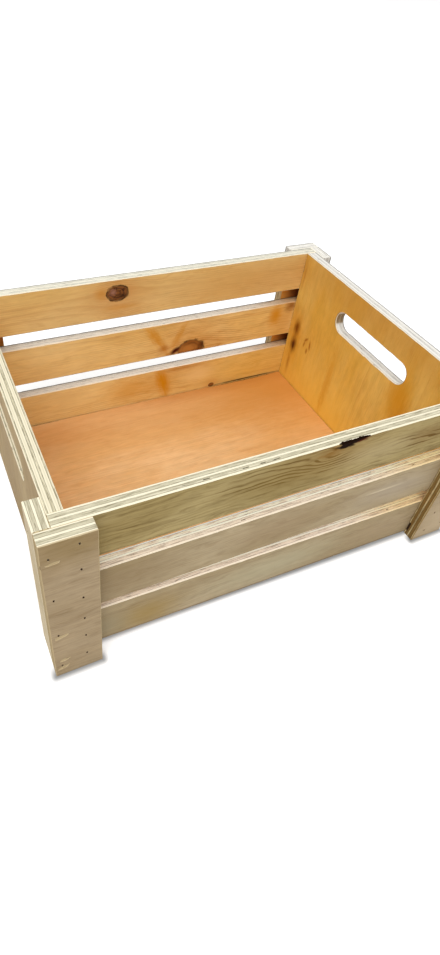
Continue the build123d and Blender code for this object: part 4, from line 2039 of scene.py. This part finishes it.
# Notches along the floor's back arris, their bared wood painted dark as the shade in the gap by the
# back slats
FLOOR_GAPS = (Notch(0.074, 0.185, REAR, 2.4 * MILLIMETRE, shade_and_bark=1.0, seed=13),
              Notch(-0.187, -0.12, REAR, 1.1 * MILLIMETRE, shade_and_bark=0.8, seed=14))


# Sub-assemblies


@dataclass
class SlatWall:
    """The three slats of the front or back wall."""

    side: Side
    inner: VeneerFinish
    brads: list[BradPlace]
    seed: float
    seed_step: float = 1.37
    courses: tuple[str, ...] = ("low", "middle", "top")

    def build(self) -> None:
        """Builds the wall's slats from the lowest up."""
        for number, course in enumerate(self.courses):
            node = f"{self.side.word}_slat_{course}"
            look = SLAT_LOOKS[node]
            Slat(node, self.side, GrainRun.WALL, look.outer, self.inner, look.edge,
                 "slat_plywood", self.seed + self.seed_step * number, self.brads,
                 notches=look.notches, holes=look.holes, step=look.step).build()


@dataclass
class CornerPost:
    """The two boards that cover one corner of the box."""

    front: Side
    end: Side
    brads: list[BradPlace]
    seed: float
    edge: PlyEdgeFinish = POST_EDGE
    side_edge: PlyEdgeFinish = POST_SIDE_EDGE
    chips: tuple[Chip, ...] = ()
    holes: tuple[Hole, ...] = ()
    seed_step: float = 0.61

    def build(self) -> None:
        """Builds the post's face board and side board."""
        corner = f"{self.front.word}_{self.end.word}"
        Board(f"post_face_board_{corner}", self.front, GrainRun.WALL, GREY_POST, SHADED_POST_BACK,
              self.edge, "post_plywood", self.seed, self.brads, self.chips,
              holes=self.holes).build()
        Board(f"post_side_board_{corner}", self.end, GrainRun.END_LEVEL, GREY_POST_SIDE,
              POST_SIDE_BACK, self.side_edge, "post_plywood", self.seed + self.seed_step,
              self.brads).build()


def main() -> None:
    """Builds the box piece by piece, then the studio."""
    logging.basicConfig(level=logging.INFO, format="%(name)s %(message)s")
    sets = {node: BradSet(node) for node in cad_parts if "brads" in node}
    heads = [place for brads in sets.values() for place in brads.places]
    SlatWall(Side.FRONT, PLAIN_WARM_SLAT, heads, seed=0.4).build()
    SlatWall(Side.BACK, WARM_SLAT, heads, seed=5.5).build()
    for side, inner, edge, seed in ((Side.LEFT, PLAIN_WARM_END, END_EDGE, 11.3),
                                    (Side.RIGHT, WARM_END, WHITE_END_EDGE, 13.6)):
        EndPanel(f"{side.word}_end_panel", side, GrainRun.END_UPRIGHT, GREY_END, inner, edge,
                 "end_panel_plywood", seed, heads).build()
    CornerPost(Side.FRONT, Side.LEFT, heads, seed=17.0, edge=PALE_POST_EDGE,
               chips=NEAR_POST_CHIPS).build()
    CornerPost(Side.FRONT, Side.RIGHT, heads, seed=18.9, holes=(FOOT_SHADE_HOLE,)).build()
    for end, seed in ((Side.LEFT, 20.8), (Side.RIGHT, 22.7)):
        CornerPost(Side.BACK, end, heads, seed, PALE_EDGE, PALE_SIDE_EDGE).build()
    Board("floor_panel", Side.UP, GrainRun.FLOOR, FLOOR_TOP, FLOOR_TOP, FLOOR_EDGE,
          "floor_plywood", seed=29.0, notches=FLOOR_GAPS, rings=THIN_PLY_RINGS).build()
    for brads in sets.values():
        brads.build()
    Studio().build()


if __name__ == "__main__":
    main()
